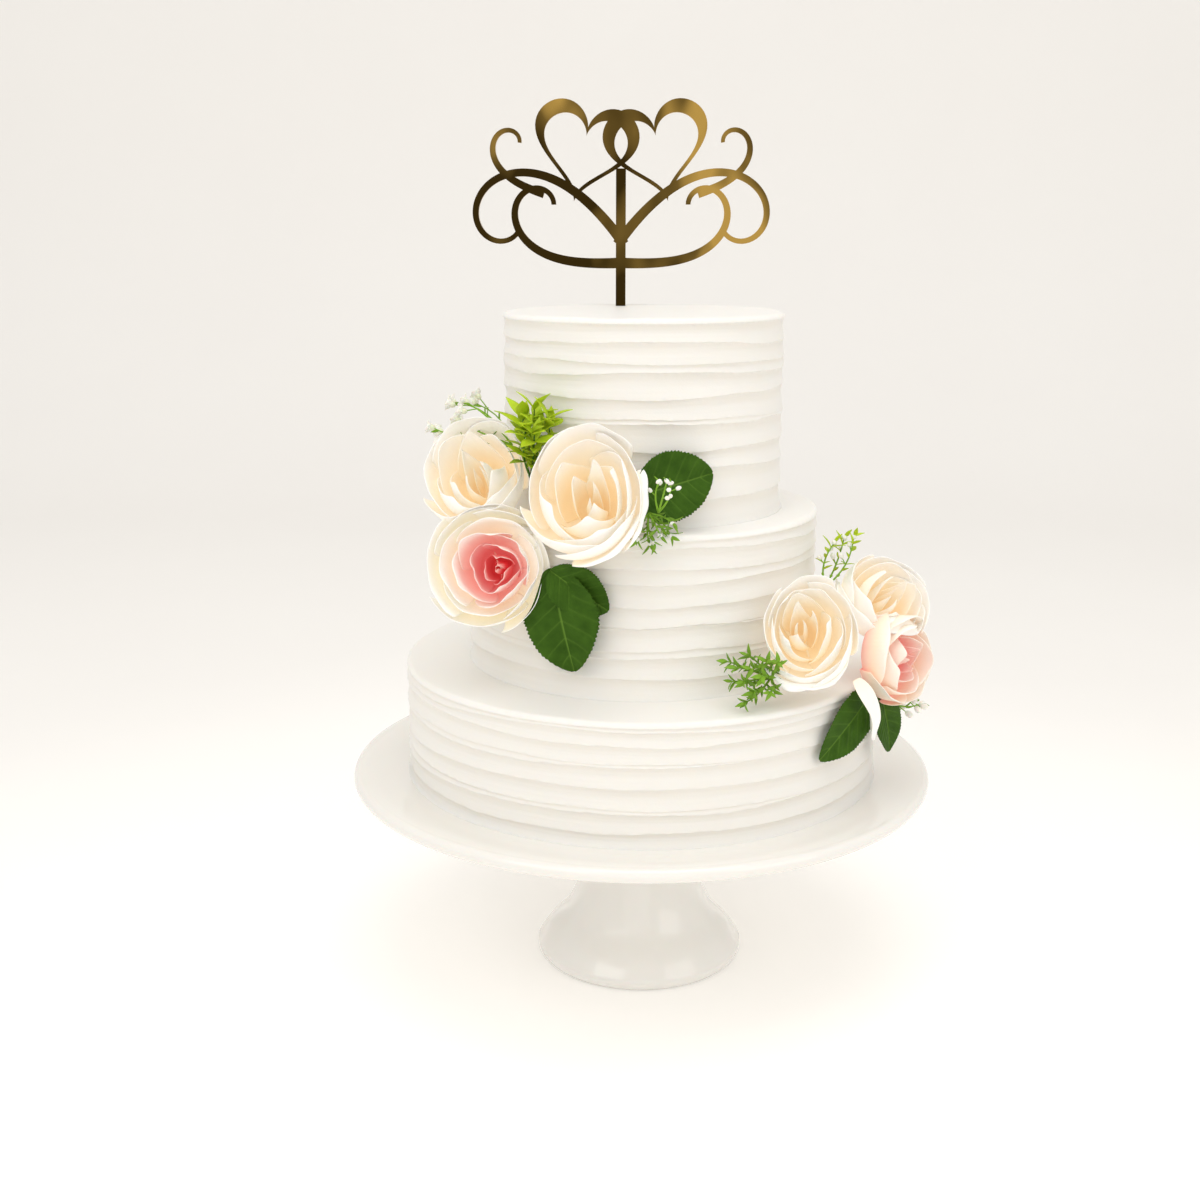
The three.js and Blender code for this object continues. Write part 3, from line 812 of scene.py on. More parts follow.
@dataclass
class Rose:
    """Silk rose: rings of cupped petals about its own axis, moved clear of its neighbours.

    tall makes the upper petals taller, narrow squeezes the bloom across, lobes waves the heart,
    drift moves the heart off the axis as shares of the radius, and bent lists the angles of
    petals that are folded back.
    """

    node: str
    tone: "Tone"
    radius: float
    at: tuple[float, float, float]
    facing: float
    lift: float
    seed: int
    form: tuple[Whorl, ...] = GARDEN
    turn: float = 0.0
    tall: float = 0.15
    narrow: float = 1.0
    lobes: float = 0.1
    drift: tuple[float, float] = (0.0, 0.0)
    bent: tuple[float, ...] = ()
    rows: int = 26
    cols: int = 33
    thick: float = 0.3

    @property
    def centre(self) -> Array:
        """Middle of the bloom."""
        return polar(*self.at)

    @property
    def axes(self) -> Array:
        """Rows: right, up and out of the bloom."""
        lift = math.radians(self.lift)
        out = polar(self.facing, math.cos(lift), math.sin(lift))
        right = polar(self.facing + 90, 1.0, 0.0)
        return np.array([right, np.cross(out, right), out])

    def petal(self, whorl: Whorl, layer: float, turn: float, rng: np.random.Generator) -> MeshData:
        """One petal of a ring.

        Args:
            whorl: the ring.
            layer: 0 for the heart to 1 for the guard petals.
            turn: the petal's angle about the bloom, from straight up to the right.
            rng: source of its small differences.

        Returns:
            The petal as a thin sheet in the bloom's frame.
        """
        u = np.linspace(-1, 1, self.cols)[None, :]
        v = np.linspace(0, 1, self.rows)[:, None]
        phase = rng.uniform(0, 2 * math.pi, 4)
        skew = rng.uniform(-0.28, 0.28)
        side = np.abs(u - skew) / (1 + np.abs(skew))
        reach = 1 - whorl.taper * side ** whorl.power + whorl.tip * np.exp(-((side / 0.28) ** 2))
        s = v * (reach + 0.6 * whorl.ruffle * np.sin(7 * u + phase[0]))
        rim = whorl.rim * (1 + (1 - 0.6 * layer) * rng.uniform(-0.04, 0.04))
        height = whorl.height * (1 + self.tall * math.cos(turn)) * rng.uniform(0.9, 1.06)
        knots = np.array(
            [[0.06, -0.5], [1.2 * whorl.belly, -0.5], [1.15 * whorl.belly, 0.1 * height], [rim, height]]
        )
        weights = np.stack([(1 - s) ** 3, 3 * s * (1 - s) ** 2, 3 * s * s * (1 - s), s ** 3], -1)
        line = self.radius * weights @ knots
        away, rise = line[..., 0], line[..., 1]
        roll = self.radius * whorl.roll * rng.uniform(0.6, 1.3)
        turned_out = smooth(s, 0.62, 1.06) ** 2
        edge = smooth(np.abs(u), 0.45, 1.0) * smooth(s, 0.35, 1.0)
        wave = whorl.ruffle * self.radius * np.sin(3.2 * u + phase[1]) * s ** 3
        fine = 0.3 * whorl.ruffle * self.radius * np.sin(10 * u + phase[3]) * s ** 6
        keel = 0.02 * self.radius * np.exp(-((side / 0.3) ** 2)) * s * s * (1 - layer)
        lapped = away * (1 + (0.055 + 0.03 * layer) * u)
        ring = lapped + roll * (turned_out + 0.5 * edge) + wave + fine + keel
        rise = rise - 0.5 * roll * turned_out * turned_out + 0.8 * wave * math.sin(phase[2])
        twist = rng.uniform(-0.2, 0.2) * s * s
        angle = turn + twist + u * math.radians(whorl.wrap) * (0.75 + 0.25 * smooth(s, 0.0, 0.5))
        lobe = self.lobes * (1 - layer) * np.cos(3 * angle + self.seed)
        ring = ring * (1 + lobe * smooth(s, 0.3, 1.0))
        right, up = (self.radius * share * (1 - layer) for share in self.drift)
        x, y = self.narrow * ring * np.sin(angle) + right, ring * np.cos(angle) + up
        grid = np.stack([x, y, rise], -1)
        values = {"along": s, "across": u + 0 * s, "layer": np.full_like(s, layer)}
        return shell(grid, self.thick, values)

    def build(self, finish: bpy.types.Material, spaces: Sequence["Space"]) -> None:
        """Build and dress the rose.

        Args:
            finish: the petals' material.
            spaces: what the petals keep clear of.
        """
        rng = np.random.default_rng(self.seed)
        petals = []
        turn = math.radians(self.turn)
        for k, whorl in enumerate(self.form):
            layer = k / (len(self.form) - 1)
            for i in range(whorl.count):
                spot = turn + (i + rng.uniform(-0.1, 0.1)) / whorl.count * 2 * math.pi
                petals.append(self.petal(whorl, layer, spot, rng))
            turn += GOLDEN_ANGLE
        petals.extend(self.petal(REFLEXED, 1.0, math.radians(spot), rng) for spot in self.bent)
        petals.append(self.calyx())
        data = MeshData.joined(petals)
        data.points = self.centre + data.points @ self.axes
        data.points = cleared(data.points, [*spaces, *spaces])
        piece = data.to_object("petals_" + self.node)
        place_piece(piece, [self.node], [finish])

    def calyx(self) -> MeshData:
        """Plain cup under the petals: an oval turned about the bloom's axis."""
        t = np.linspace(0.3, math.pi - 0.3, 8)
        path = np.outer(-0.56 * self.radius - 0.06 * self.radius * np.cos(t), np.array([0, 0, 1.0]))
        data = tube(path, 0.26 * self.radius * np.sin(t), 16)
        zero = np.zeros(len(data.points))
        data.values = {"along": zero + 0.3, "across": zero, "layer": zero + 1.0}
        return data


class Space:
    """A space that soft pieces keep clear of."""

    def clear(self, points: Array) -> Array:
        """Move points that lie inside out to the surface, keeping their order."""
        raise NotImplementedError


def cleared(points: Array, spaces: Sequence[Space]) -> Array:
    """Move points out of spaces, one space after the other."""
    for space in spaces:
        points = space.clear(points)
    return points


@dataclass(frozen=True)
class TierSpace(Space):
    """The round body of a tier, with a little room round it."""

    radius: float
    top: float
    room: float = 0.8
    soft: float = 2.0

    def clear(self, points: Array) -> Array:
        """Push points below the top out to the wall, or up to the top if that is nearer."""
        r = np.hypot(points[:, 0], points[:, 1])
        over = points[:, 2] - self.top - self.room
        out = r - self.radius - self.room
        eased = self.soft * np.logaddexp(0, out / self.soft)
        raised = self.soft * np.logaddexp(0, over / self.soft)
        inside = (out < 2.5 * self.soft) & (over < 0)
        above = inside & (over > out)
        wall = inside & ~above
        moved = points.copy()
        share = np.where(wall, (self.radius + self.room + eased) / np.maximum(r, 1e-6), 1.0)
        moved[:, :2] *= share[:, None]
        moved[above, 2] = (self.top + self.room + raised)[above]
        return moved


@dataclass(frozen=True)
class BloomSpace(Space):
    """The flattened ball that a rose fills."""

    rose: Rose
    share: float = 0.9
    depth: float = 0.5
    soft: float = 0.05

    def clear(self, points: Array) -> Array:
        """Push points inside out along the line from the ball's middle."""
        size = self.rose.radius * np.array([self.share * self.rose.narrow, self.share, self.depth])
        local = (points - self.rose.centre) @ self.rose.axes.T / size
        d = np.maximum(np.linalg.norm(local, axis=1), 1e-6)
        eased = 1 + self.soft * np.logaddexp(0, (d - 1) / self.soft)
        share = np.where(d < 1 + 3 * self.soft, eased / d, 1.0)
        return self.rose.centre + (local * share[:, None] * size) @ self.rose.axes


@dataclass
class Leaf:
    """Serrated fabric leaf from root to tip, its face out from the cake.

    Half its width is (W / 2)(0.05 + 2.3 s^0.6 (1 - s)^0.75) at share s of its length, with teeth
    along the edge. The blade folds up from the midrib and bulges between the side veins.
    """

    node: str
    width: float
    root: tuple[float, float, float]
    tip: tuple[float, float, float]
    seed: int
    face: Optional[float] = None
    droop: float = 0.12
    fold: float = 0.22
    teeth: int = 27
    side_veins: float = 6.0

    def build(self, finish: bpy.types.Material, spaces: Sequence[Space]) -> None:
        """Build and dress the leaf."""
        rng = np.random.default_rng(self.seed)
        root, tip = polar(*self.root), polar(*self.tip)
        length = float(np.linalg.norm(tip - root))
        along = (tip - root) / length
        turn = (self.root[0] + self.tip[0]) / 2 if self.face is None else self.face
        across = unit(np.cross(polar(turn, 1.0, 0.0), along))
        face = np.cross(along, across)
        s = np.linspace(0, 1, 103)[:, None]
        t = np.linspace(-1, 1, 45)[None, :]
        half = self.width / 2 * (0.05 + 2.3 * s ** 0.6 * (1 - s) ** 0.75)
        saw = np.mod(s * self.teeth, 1.0)
        tooth = (0.03 * self.width * (saw - 0.5)) * smooth(np.abs(t), 0.8, 1.0)
        tooth = tooth * np.sin(math.pi * s) ** 0.4
        y = half * t + np.sign(t) * tooth
        q = s * self.side_veins - 1.5 * np.abs(t) * (half / (self.width / 2)) ** 0.5
        gap = np.abs(np.mod(q, 1.0) - 0.5)
        side = np.exp(-((0.5 - gap) / 0.045) ** 2) * (1 - 0.6 * np.abs(t)) * smooth(s, 0.02, 0.12)
        rib = np.exp(-((y / 0.4) ** 2))
        vein = np.clip(rib + 0.45 * side, 0, 1)
        bulge = 0.55 * np.sin(math.pi * np.clip(gap * 2, 0, 1))
        bulge = bulge * (1 - np.abs(t) ** 3) * np.abs(t) ** 0.4
        wave = 0.04 * self.width * np.sin(9 * s + rng.uniform(0, 1)) * t * t
        z = self.fold * np.abs(y) * (1 - 0.5 * s) + wave - self.droop * length * s * s + bulge
        z = z - 0.35 * rib
        grid = root + (length * s)[..., None] * along + y[..., None] * across + z[..., None] * face
        data = shell(grid, 0.45, {"vein": vein})
        data.points = cleared(data.points, [*spaces, *spaces])
        piece = data.to_object("blade_" + self.node)
        place_piece(piece, [self.node], [finish])


@dataclass
class DroopPetal:
    """Outer petal that hangs from the right spray: a strip that cups across and waves along."""

    node: str = "petal_right_droop"
    width: float = 9.0
    root: tuple[float, float, float] = (51.0, 152.0, 208.0)
    tip: tuple[float, float, float] = (58.0, 157.0, 169.0)

    def build(self, finish: bpy.types.Material, spaces: Sequence[Space]) -> None:
        """Build and dress the petal."""
        root, tip = polar(*self.root), polar(*self.tip)
        length = float(np.linalg.norm(tip - root))
        along = (tip - root) / length
        out = polar((self.root[0] + self.tip[0]) / 2, 1.0, 0.0)
        across = unit(np.cross(out, along))
        face = np.cross(along, across)
        s = np.linspace(0, 1, 40)[:, None]
        t = np.linspace(-1, 1, 17)[None, :]
        half = self.width / 2 * (0.5 + 0.9 * np.sin(math.pi * s ** 0.7))
        half = half * (1 - 0.75 * smooth(s, 0.7, 1.0))
        bow = 0.1 * length * np.sin(3.6 * s)
        z = 0.5 * half * (t * t - 0.4) + bow + 0.8 * np.sin(7 * s + 2 * t)
        grid = root + (length * s)[..., None] * along
        grid = grid + (half * t)[..., None] * across + z[..., None] * face
        values = {"along": 0.5 + 0.5 * s + 0 * t, "across": t + 0 * s, "layer": np.ones((40, 17))}
        data = shell(grid, 0.45, values)
        data.points = cleared(data.points, spaces)
        piece = data.to_object("hanging_" + self.node)
        place_piece(piece, [self.node], [finish])


LIME: Colour = (0.52, 0.7, 0.02)
GRASS: Colour = (0.22, 0.42, 0.03)
MOSS: Colour = (0.07, 0.2, 0.02)
PEARL: Colour = (0.97, 0.95, 0.89)
BUD: Colour = (0.78, 0.8, 0.6)


@dataclass
class Sprig:
    """Moulded sprig: stems that fan from a root towards a tip, with leaflets, blossoms or beads."""

    node: str
    slot: Slot
    root: tuple[float, float, float]
    tip: tuple[float, float, float]
    seed: int
    stems: int
    fan: float
    leaflets: int = 0
    leaf: float = 8.0
    leaf_wide: float = 0.3
    blossoms: int = 0
    bloom: float = 4.0
    buds: int = 0
    bud: float = 1.5
    colour: Colour = GRASS
    stem_colour: Colour = GRASS
    stem: float = 0.55

    def axes(self) -> tuple[Array, Array, Array, Array, float]:
        """Root, two directions across, the direction of growth and the length."""
        root, tip = polar(*self.root), polar(*self.tip)
        length = float(np.linalg.norm(tip - root))
        along = (tip - root) / length
        side = unit(np.cross(along, polar(self.root[0], 1.0, 0.2)))
        return root, side, np.cross(along, side), along, length

    def leaflet(self, at: Array, way: Array, face: Array, size: float, wide: float) -> MeshData:
        """Narrow leaflet: half width W sin(pi s^0.8), bent back along its length.

        Args:
            at: its root.
            way: its direction.
            face: about the direction that its face looks.
            size: its length.
            wide: its width.

        Returns:
            The leaflet as a thin sheet.
        """
        s = np.linspace(0, 1, 9)[:, None]
        t = np.linspace(-1, 1, 5)[None, :]
        across = unit(np.cross(face, way))
        normal = np.cross(way, across)
        half = wide / 2 * np.sin(math.pi * np.clip(s, 0.03, 0.985) ** 0.8)
        z = 0.25 * half * np.abs(t) - 0.16 * size * s * s
        grid = at + (size * s)[..., None] * way + (half * t)[..., None] * across
        grid = grid + z[..., None] * normal
        return shell(grid, 0.3)

    def blossom(self, at: Array, way: Array, rng: np.random.Generator) -> list[MeshData]:
        """Small cup of petals round a bead, opening along a direction."""
        parts = [bead(at + 0.3 * way, np.array([0.28, 0.36]) * self.bloom, way).tinted(BUD)]
        side = unit(np.cross(way, np.array([0.2, 0.5, 0.84])))
        other = np.cross(way, side)
        start = rng.uniform(0, ANY_TURN)
        for k in range(5):
            a = start + k * 2 * math.pi / 5
            ray = math.cos(a) * side + math.sin(a) * other
            size = (0.85 * self.bloom, 0.9 * self.bloom)
            parts.append(self.leaflet(at, unit(ray + way), unit(way - ray), *size).tinted(PEARL))
        return parts

    def build(self, finish: bpy.types.Material, spaces: Sequence[Space]) -> None:
        """Build and dress the sprig."""
        rng = np.random.default_rng(self.seed)
        root, side, other, along, length = self.axes()
        parts: list[MeshData] = []
        s = np.linspace(0, 1, 9)
        for i in range(self.stems):
            a = GOLDEN_ANGLE * i + rng.uniform(-0.3, 0.3)
            lean = self.fan * math.sqrt((i + 0.4) / self.stems)
            ray = math.cos(a) * side + math.sin(a) * other
            way = unit(math.cos(lean) * along + math.sin(lean) * ray)
            reach = length * rng.uniform(0.72, 1.05)
            bow = 0.12 * reach * np.sin(math.pi * s)[:, None] * ray
            path = root + reach * s[:, None] * way + bow
            parts.append(tube(path, self.stem * (1.15 - 0.5 * s)).tinted(self.stem_colour))
            parts.extend(self.dress_stem(path, way, rng))
        data = MeshData.joined(parts)
        data.points = cleared(data.points, spaces)
        piece = data.to_object("stems_" + self.node)
        place_piece(piece, [self.node], [finish])

    def dress_stem(self, path: Array, way: Array, rng: np.random.Generator) -> list[MeshData]:
        """Leaflets in a spiral up the stem, then its blossoms and buds.

        Args:
            path: the stem's points.
            way: its direction.
            rng: source of the small differences.

        Returns:
            The parts on the stem.
        """
        parts: list[MeshData] = []
        side = unit(np.cross(way, np.array([0.1, 0.3, 0.95])))
        other = np.cross(way, side)
        for k in range(self.leaflets):
            place = 1.0 - 0.75 * (k / max(self.leaflets - 1, 1)) ** 1.3
            at = path[int(round(place * (len(path) - 1)))]
            a = GOLDEN_ANGLE * k + rng.uniform(-0.4, 0.4)
            ray = math.cos(a) * side + math.sin(a) * other
            rise = 1.3 if k < 3 else rng.uniform(0.35, 1.0)
            size = self.leaf * rng.uniform(0.75, 1.1) * (1.0 if k < 5 else 0.75)
            grows, looks = unit(ray + rise * way), unit(way - rise * ray)
            leaf = self.leaflet(at, grows, looks, size, self.leaf_wide * size)
            shade = 0.62 + 0.38 * place + rng.uniform(-0.1, 0.1)
            parts.append(leaf.tinted(tuple(shade * c for c in self.colour)))
        for k in range(self.blossoms):
            place = 1.0 - 0.3 * k
            at = path[int(round(place * (len(path) - 1)))]
            a = rng.uniform(0, ANY_TURN)
            ray = unit(math.cos(a) * side + math.sin(a) * other)
            reach = (0.0 if k == 0 else 0.16) * np.linalg.norm(path[-1] - path[0])
            end = at + reach * (ray + 0.8 * way)
            if k:
                twig = at + np.linspace(0, 1, 5)[:, None] * (end - at)
                parts.append(tube(twig, np.full(5, 0.35)).tinted(self.stem_colour))
            parts.extend(self.blossom(end, unit(way + (0.5 if k else 0.15) * ray), rng))
        for k in range(self.buds):
            at = path[-1 - min(k * 2, len(path) - 2)]
            a = rng.uniform(0, ANY_TURN)
            ray = unit(math.cos(a) * side + math.sin(a) * other + 0.7 * way)
            end = at + (0.0 if k == 0 else 3.2 * self.bud) * ray
            if k:
                twig = at + np.linspace(0, 1, 4)[:, None] * (end - at)
                parts.append(tube(twig, np.full(4, 0.32)).tinted(self.stem_colour))
            parts.append(bead(end, np.array([0.8, 1.15]) * self.bud, ray).tinted(PEARL))
        return parts


@dataclass
class Topper:
    """Gold sheet cut to two linked hearts over scrolls, standing on one pick."""

    node: str = "topper"
    x: float = -14.0
    y: float = 60.0
    base: float = 403.0
    thick: float = 3.0
    heart: float = 64.0
    band: float = 0.1
    drop: float = 1.8
    spread: float = 23.0
    lean: float = 0.2
    lift: float = 91.0
    scroll: float = 158.0
    stroke: float = 6.5
    pick: float = 6.0
    pick_top: float = 82.0
    pick_deep: float = 40.0

    def heart_line(self, width: float, lean: float, centre: Array) -> Array:
        """Heart outline: x = -16 sin^3 t, y = 13 cos t - 5 cos 2t - 2 cos 3t - cos 4t, scaled."""
        t = circle(96)
        x = -16 * np.sin(t) ** 3
        y = 13 * np.cos(t) - 5 * np.cos(2 * t) - 2 * np.cos(3 * t) - np.cos(4 * t) + 2.5
        turn = np.array([[math.cos(lean), math.sin(lean)], [-math.sin(lean), math.cos(lean)]])
        return np.stack([x, y], -1) * width / 32 @ turn + centre

    def scroll_line(
        self, start: tuple[float, float], heading: float, length: float, first: float, last: float,
        width: float, steps: int = 72,
    ) -> tuple[Array, Array]:
        """Two sides of a stroke whose heading turns at a rate from first to last, rising as s^2.

        Args:
            start: where it starts.
            heading: its first heading.
            length: its length.
            first: turning rate at the start, radians over the whole length.
            last: turning rate at the end.
            width: its width at the start, tapering to 0.45 of it.
            steps: steps along it.

        Returns:
            Points of its left and right sides.
        """
        s = np.linspace(0, 1, steps + 1)
        angle = heading + first * s + (last - first) * s ** 3 / 3
        step = length / steps
        mid = np.stack([np.cos(angle), np.sin(angle)], -1) * step
        moves = np.cumsum(0.5 * (mid[1:] + mid[:-1]), axis=0)
        line = np.array(start) + np.concatenate([[[0, 0]], moves])
        side = np.stack([-np.sin(angle), np.cos(angle)], -1) * (width / 2 * (1 - 0.55 * s))[:, None]
        return line + side, line - side

    def ring_solid(self, outer: Array, inner: Array) -> MeshData:
        """Flat ring between two outlines, as thick as the sheet."""
        n = len(outer)
        flat = np.concatenate([outer, inner])
        i = np.arange(n)
        j = (i + 1) % n
        front = np.stack([i, j, j + n, i + n], -1)
        edge = np.concatenate([np.stack([j, i], -1), np.stack([i + n, j + n], -1)])
        return self.slab(flat, front, edge)

    def strip_solid(self, left: Array, right: Array) -> MeshData:
        """Flat strip between two sides, as thick as the sheet."""
        n = len(left)
        flat = np.concatenate([right, left])
        i = np.arange(n - 1)
        front = np.stack([i, i + 1, i + 1 + n, i + n], -1)
        edge = np.concatenate(
            [np.stack([i + 1, i], -1), np.stack([i + n, i + 1 + n], -1), [[0, n], [2 * n - 1, n - 1]]]
        )
        return self.slab(flat, front, edge)

    def slab(self, flat: Array, front: Array, edge: Array) -> MeshData:
        """Closed slab from a flat outline's faces and edges, standing in the XZ plane."""
        n = len(flat)
        half = self.thick / 2
        sheet = [np.stack([flat[:, 0], np.full(n, side), flat[:, 1]], -1) for side in (-half, half)]
        wall = np.stack([edge[:, 0], edge[:, 1], edge[:, 1] + n, edge[:, 0] + n], -1)
        return MeshData(np.concatenate(sheet), np.concatenate([front, front[:, ::-1] + n, wall]))

    def strokes(self) -> list[MeshData]:
        """Hearts, scrolls and pick as separate closed slabs."""
        parts = []
        for side in (-1, 1):
            lean = side * self.lean
            centre = np.array([side * self.spread, self.lift])
            down = centre + self.drop * np.array([math.sin(lean), -math.cos(lean)])
            outer = self.heart_line(self.heart, lean, centre)
            inner = self.heart_line(self.heart * (1 - 2 * self.band), lean, down)
            parts.append(self.ring_solid(outer, inner))
        w, n = self.stroke, self.scroll
        for start, heading, length, first, last, width in (
            ((-2, 37), 0.95, n, -0.9, -13.5, w),
            ((-2, 26), -0.05, 0.76 * n, 0.4, 13.5, w),
            ((47, 67), 0.3, 0.45 * n, 0.6, 12.5, 0.8 * w),
        ):
            left, right = self.scroll_line(start, heading, length, first, last, width)
            parts.append(self.strip_solid(left, right))
            flip = np.array([-1.0, 1.0])
            parts.append(self.strip_solid(right * flip, left * flip))
        half = self.pick / 2
        ends = np.array([-self.pick_deep, self.pick_top])
        left = np.stack([np.full(2, -half), ends], -1)
        parts.append(self.strip_solid(left, left * np.array([-1.0, 1.0])))
        return parts

    def build(self) -> None:
        """Fuse the strokes into one sheet, bevel its edges and dress it."""
        place = np.array([self.x, self.y, self.base])
        objects = []
        for k, part in enumerate(self.strokes()):
            part.points = part.points + place
            objects.append(part.to_object("gold_topper" if k == 0 else f"stroke_{k}"))
        piece = objects[0]
        for other in objects[1:]:
            cut = piece.modifiers.new("fuse", "BOOLEAN")
            cut.operation = "UNION"
            cut.solver = "EXACT"
            cut.object = other
        bevel = piece.modifiers.new("edge", "BEVEL")
        bevel.width = 0.6 * MM
        bevel.segments = 2
        bevel.limit_method = "ANGLE"
        bevel.angle_limit = math.radians(50)
        ready = piece.evaluated_get(bpy.context.evaluated_depsgraph_get())
        mesh = bpy.data.meshes.new_from_object(ready)
        piece.modifiers.clear()
        piece.data = mesh
        mesh.name = "gold_topper"
        for other in objects[1:]:
            bpy.data.objects.remove(other)
        normal = np.empty(3 * len(mesh.polygons))
        mesh.polygons.foreach_get("normal", normal)
        flat = np.abs(normal.reshape(-1, 3)[:, 1]) > 0.999
        mesh.polygons.foreach_set("use_smooth", np.zeros(len(flat), bool))
        # painted reflection: dark bronze and gold bands on the flat faces stand in for a dim room; the
        # brighter gold on the bevelled edges is a painted glint
        face = GoldFinish((0.032, 0.019, 0.004), (0.42, 0.26, 0.06), 0.14)
        edge = GoldFinish((0.45, 0.27, 0.055), (0.85, 0.58, 0.19), 0.18)
        finishes = [face.material("gold_face_painted_reflection"), edge.material("gold_edge_painted_glint")]
        place_piece(piece, [self.node], finishes)
        mesh.polygons.foreach_set("material_index", np.where(flat, 0, 1).astype(np.int32))
        mesh.update()


@dataclass
class Studio:
    """Pale floor that sweeps up into a backdrop, soft lights and the camera."""

    camera_at: tuple[float, float, float] = (0.0, -0.9, 0.45)
    pitch: float = 13.79
    yaw: float = 1.6
    lens: float = 45.51
    room: float = 0.83
    # painted light: the floor's emission strength round the stand, and the distances where it starts
    # and ends fading
    floor_glow: float = 0.17
    glow_reach: tuple[float, float] = (150.0, 800.0)

    def build(self) -> None:
        """Build the sweep, the lights and the camera."""
        self.sweep()
        self.lights()
        self.camera()

    def sweep(self) -> None:
        """Floor, bend and wall: a profile carried across, with painted light: an emission glow round
        the stand that washes out the shadows on the floor near it.
        """
        a = np.radians(np.linspace(-90, 0, 14))
        flat = np.linspace(-3000, 1400, 45)
        y = np.concatenate([flat, 1500 + 700 * np.cos(a), [2200.0]])
        z = np.concatenate([0 * flat, 700 + 700 * np.sin(a), [3500.0]])
        x = np.linspace(-4000, 4000, 81)
        grid = np.stack(np.broadcast_arrays(x[None, :], y[:, None], z[:, None]), -1)
        data = MeshData(grid.reshape(-1, 3), grid_quads(len(y), len(x)))
        # painted light: the floor glows near the stand and fades out with distance, lightening the
        # shade under the plate and foot
        away = np.linalg.norm(data.points, axis=1)
        data.values["near"] = 1 - smooth(away, *self.glow_reach)
        floor = data.to_object("floor_sweep")
        s = Shader.new("floor_paper")
        s.link(s.mix(s.noise(3, 2), (0.905, 0.885, 0.86), (0.925, 0.91, 0.885)), "Base Color")
        s.set(Roughness=0.9, Emission_Color=(*LAMP_TINT, 1.0))
        s.link(s.math("MULTIPLY", s.value("near"), self.floor_glow), "Emission Strength")
        floor.data.materials.append(s.material)

    def lights(self) -> None:
        """A pale room and four large soft lamps."""
        world = bpy.data.worlds.new("pale_room")
        bpy.context.scene.world = world
        world.use_nodes = True
        back = world.node_tree.nodes["Background"]
        back.inputs["Color"].default_value = (*LAMP_TINT, 1.0)
        back.inputs["Strength"].default_value = self.room
        for name, power, size, at in (
            ("key", 6.8, 1.2, (-1.0, -1.3, 1.7)),
            ("fill", 4.0, 1.2, (1.5, -1.2, 1.1)),
            ("top", 9.5, 1.4, (0.15, -0.4, 2.1)),
            ("low", 1.7, 1.3, (-0.1, -1.7, 0.5)),
        ):
            lamp = bpy.data.lights.new(name, "AREA")
            lamp.energy = power
            lamp.size = size
            lamp.color = LAMP_TINT
            obj = bpy.data.objects.new(name, lamp)
            bpy.context.collection.objects.link(obj)
            obj.location = at
            self.aim(obj, np.array([0.0, 0.0, 0.05 if name == "low" else 0.28]))

    @staticmethod
    def aim(obj: bpy.types.Object, target: Array) -> None:
        """Turn an object's -Z towards a point."""
        way = target - np.array(obj.location)
        flat = math.hypot(way[0], way[1])
        obj.rotation_euler = (math.atan2(flat, -way[2]), 0.0, math.atan2(-way[0], way[1]))

    def camera(self) -> None:
        """Camera at the solved place and angle of the photograph."""
        data = bpy.data.cameras.new("photo_view")
        data.lens = self.lens
        data.sensor_width = 36.0
        obj = bpy.data.objects.new("photo_view", data)
        bpy.context.collection.objects.link(obj)
        obj.location = self.camera_at
        obj.rotation_euler = (math.radians(90 - self.pitch), 0.0, math.radians(self.yaw))
        scene = bpy.context.scene
        scene.camera = obj
        scene.view_settings.view_transform = "Standard"


BOTTOM = Tier(
    "tier_bottom", 143.5, 127.0, 70.5,
    (0.0, 0.125, 0.276, 0.313, 0.486, 0.674, 0.706, 0.862, 0.94, 1.0), 11, columns=600,
)
MIDDLE = Tier(
    "tier_middle", 104.5, 197.5, 92.0,
    (0.0, 0.147, 0.284, 0.309, 0.446, 0.465, 0.608, 0.751, 0.807, 0.939, 1.0), 23, columns=560,
)
TOP = Tier(
    "tier_top", 82.5, 289.5, 113.5,
    (0.0, 0.147, 0.281, 0.388, 0.504, 0.529, 0.65, 0.764, 0.818, 0.911, 1.0), 37, columns=520,
)

LEFT_CREAM = Rose(
    "rose_left_cream", Tone.CREAM, 37, (-15.5, 115.5, 313), -4, 36, 4, turn=20, tall=0.5,
    narrow=0.9, drift=(0.16, -0.12), bent=(95, 150),
)
LEFT_BLUSH = Rose(
    "rose_left_blush", Tone.BLUSH, 36, (-43.5, 122, 268.5), -8, 13, 9, RUFFLED, lobes=0.2,
    drift=(0.2, 0.02),
)
LEFT_BACK = Rose(
    "rose_left_back", Tone.CREAM, 34, (-55.5, 112, 315), -12, 40, 15, turn=70, tall=0.4, narrow=0.9,
    drift=(0.12, -0.1),
)
RIGHT_CREAM = Rose(
    "rose_right_cream", Tone.CREAM, 31, (42, 137, 236), -8, 38, 21, turn=75, tall=0.5, narrow=0.86,
    drift=(-0.16, 0.08), bent=(150, 205),
)
RIGHT_BLUSH = Rose(
    "rose_right_blush", Tone.FLUSH, 27, (67, 157, 211), 50, 8, 27, CLOSED, turn=30, bent=(60,)
)
RIGHT_BACK = Rose(
    "rose_right_back", Tone.CREAM, 29, (71, 147, 241), 30, 38, 33, turn=50, tall=0.2, bent=(270, 60)
)

LEAVES = (
    Leaf("leaf_left_upper", 40, (-3, 101, 310.5), (25, 95, 320.5), 1),
    Leaf("leaf_left_lower", 48, (-26, 111, 271), (-19.5, 117, 215), 2, fold=0.1),
    Leaf("leaf_left_small", 29, (-25, 116, 271), (-9.5, 112, 249), 3),
    Leaf("leaf_right_front", 30, (61, 151, 196), (42.5, 151, 167), 4, face=30),
    Leaf("leaf_right_back", 26, (65, 151, 194), (70, 160, 152), 5, face=48),
)

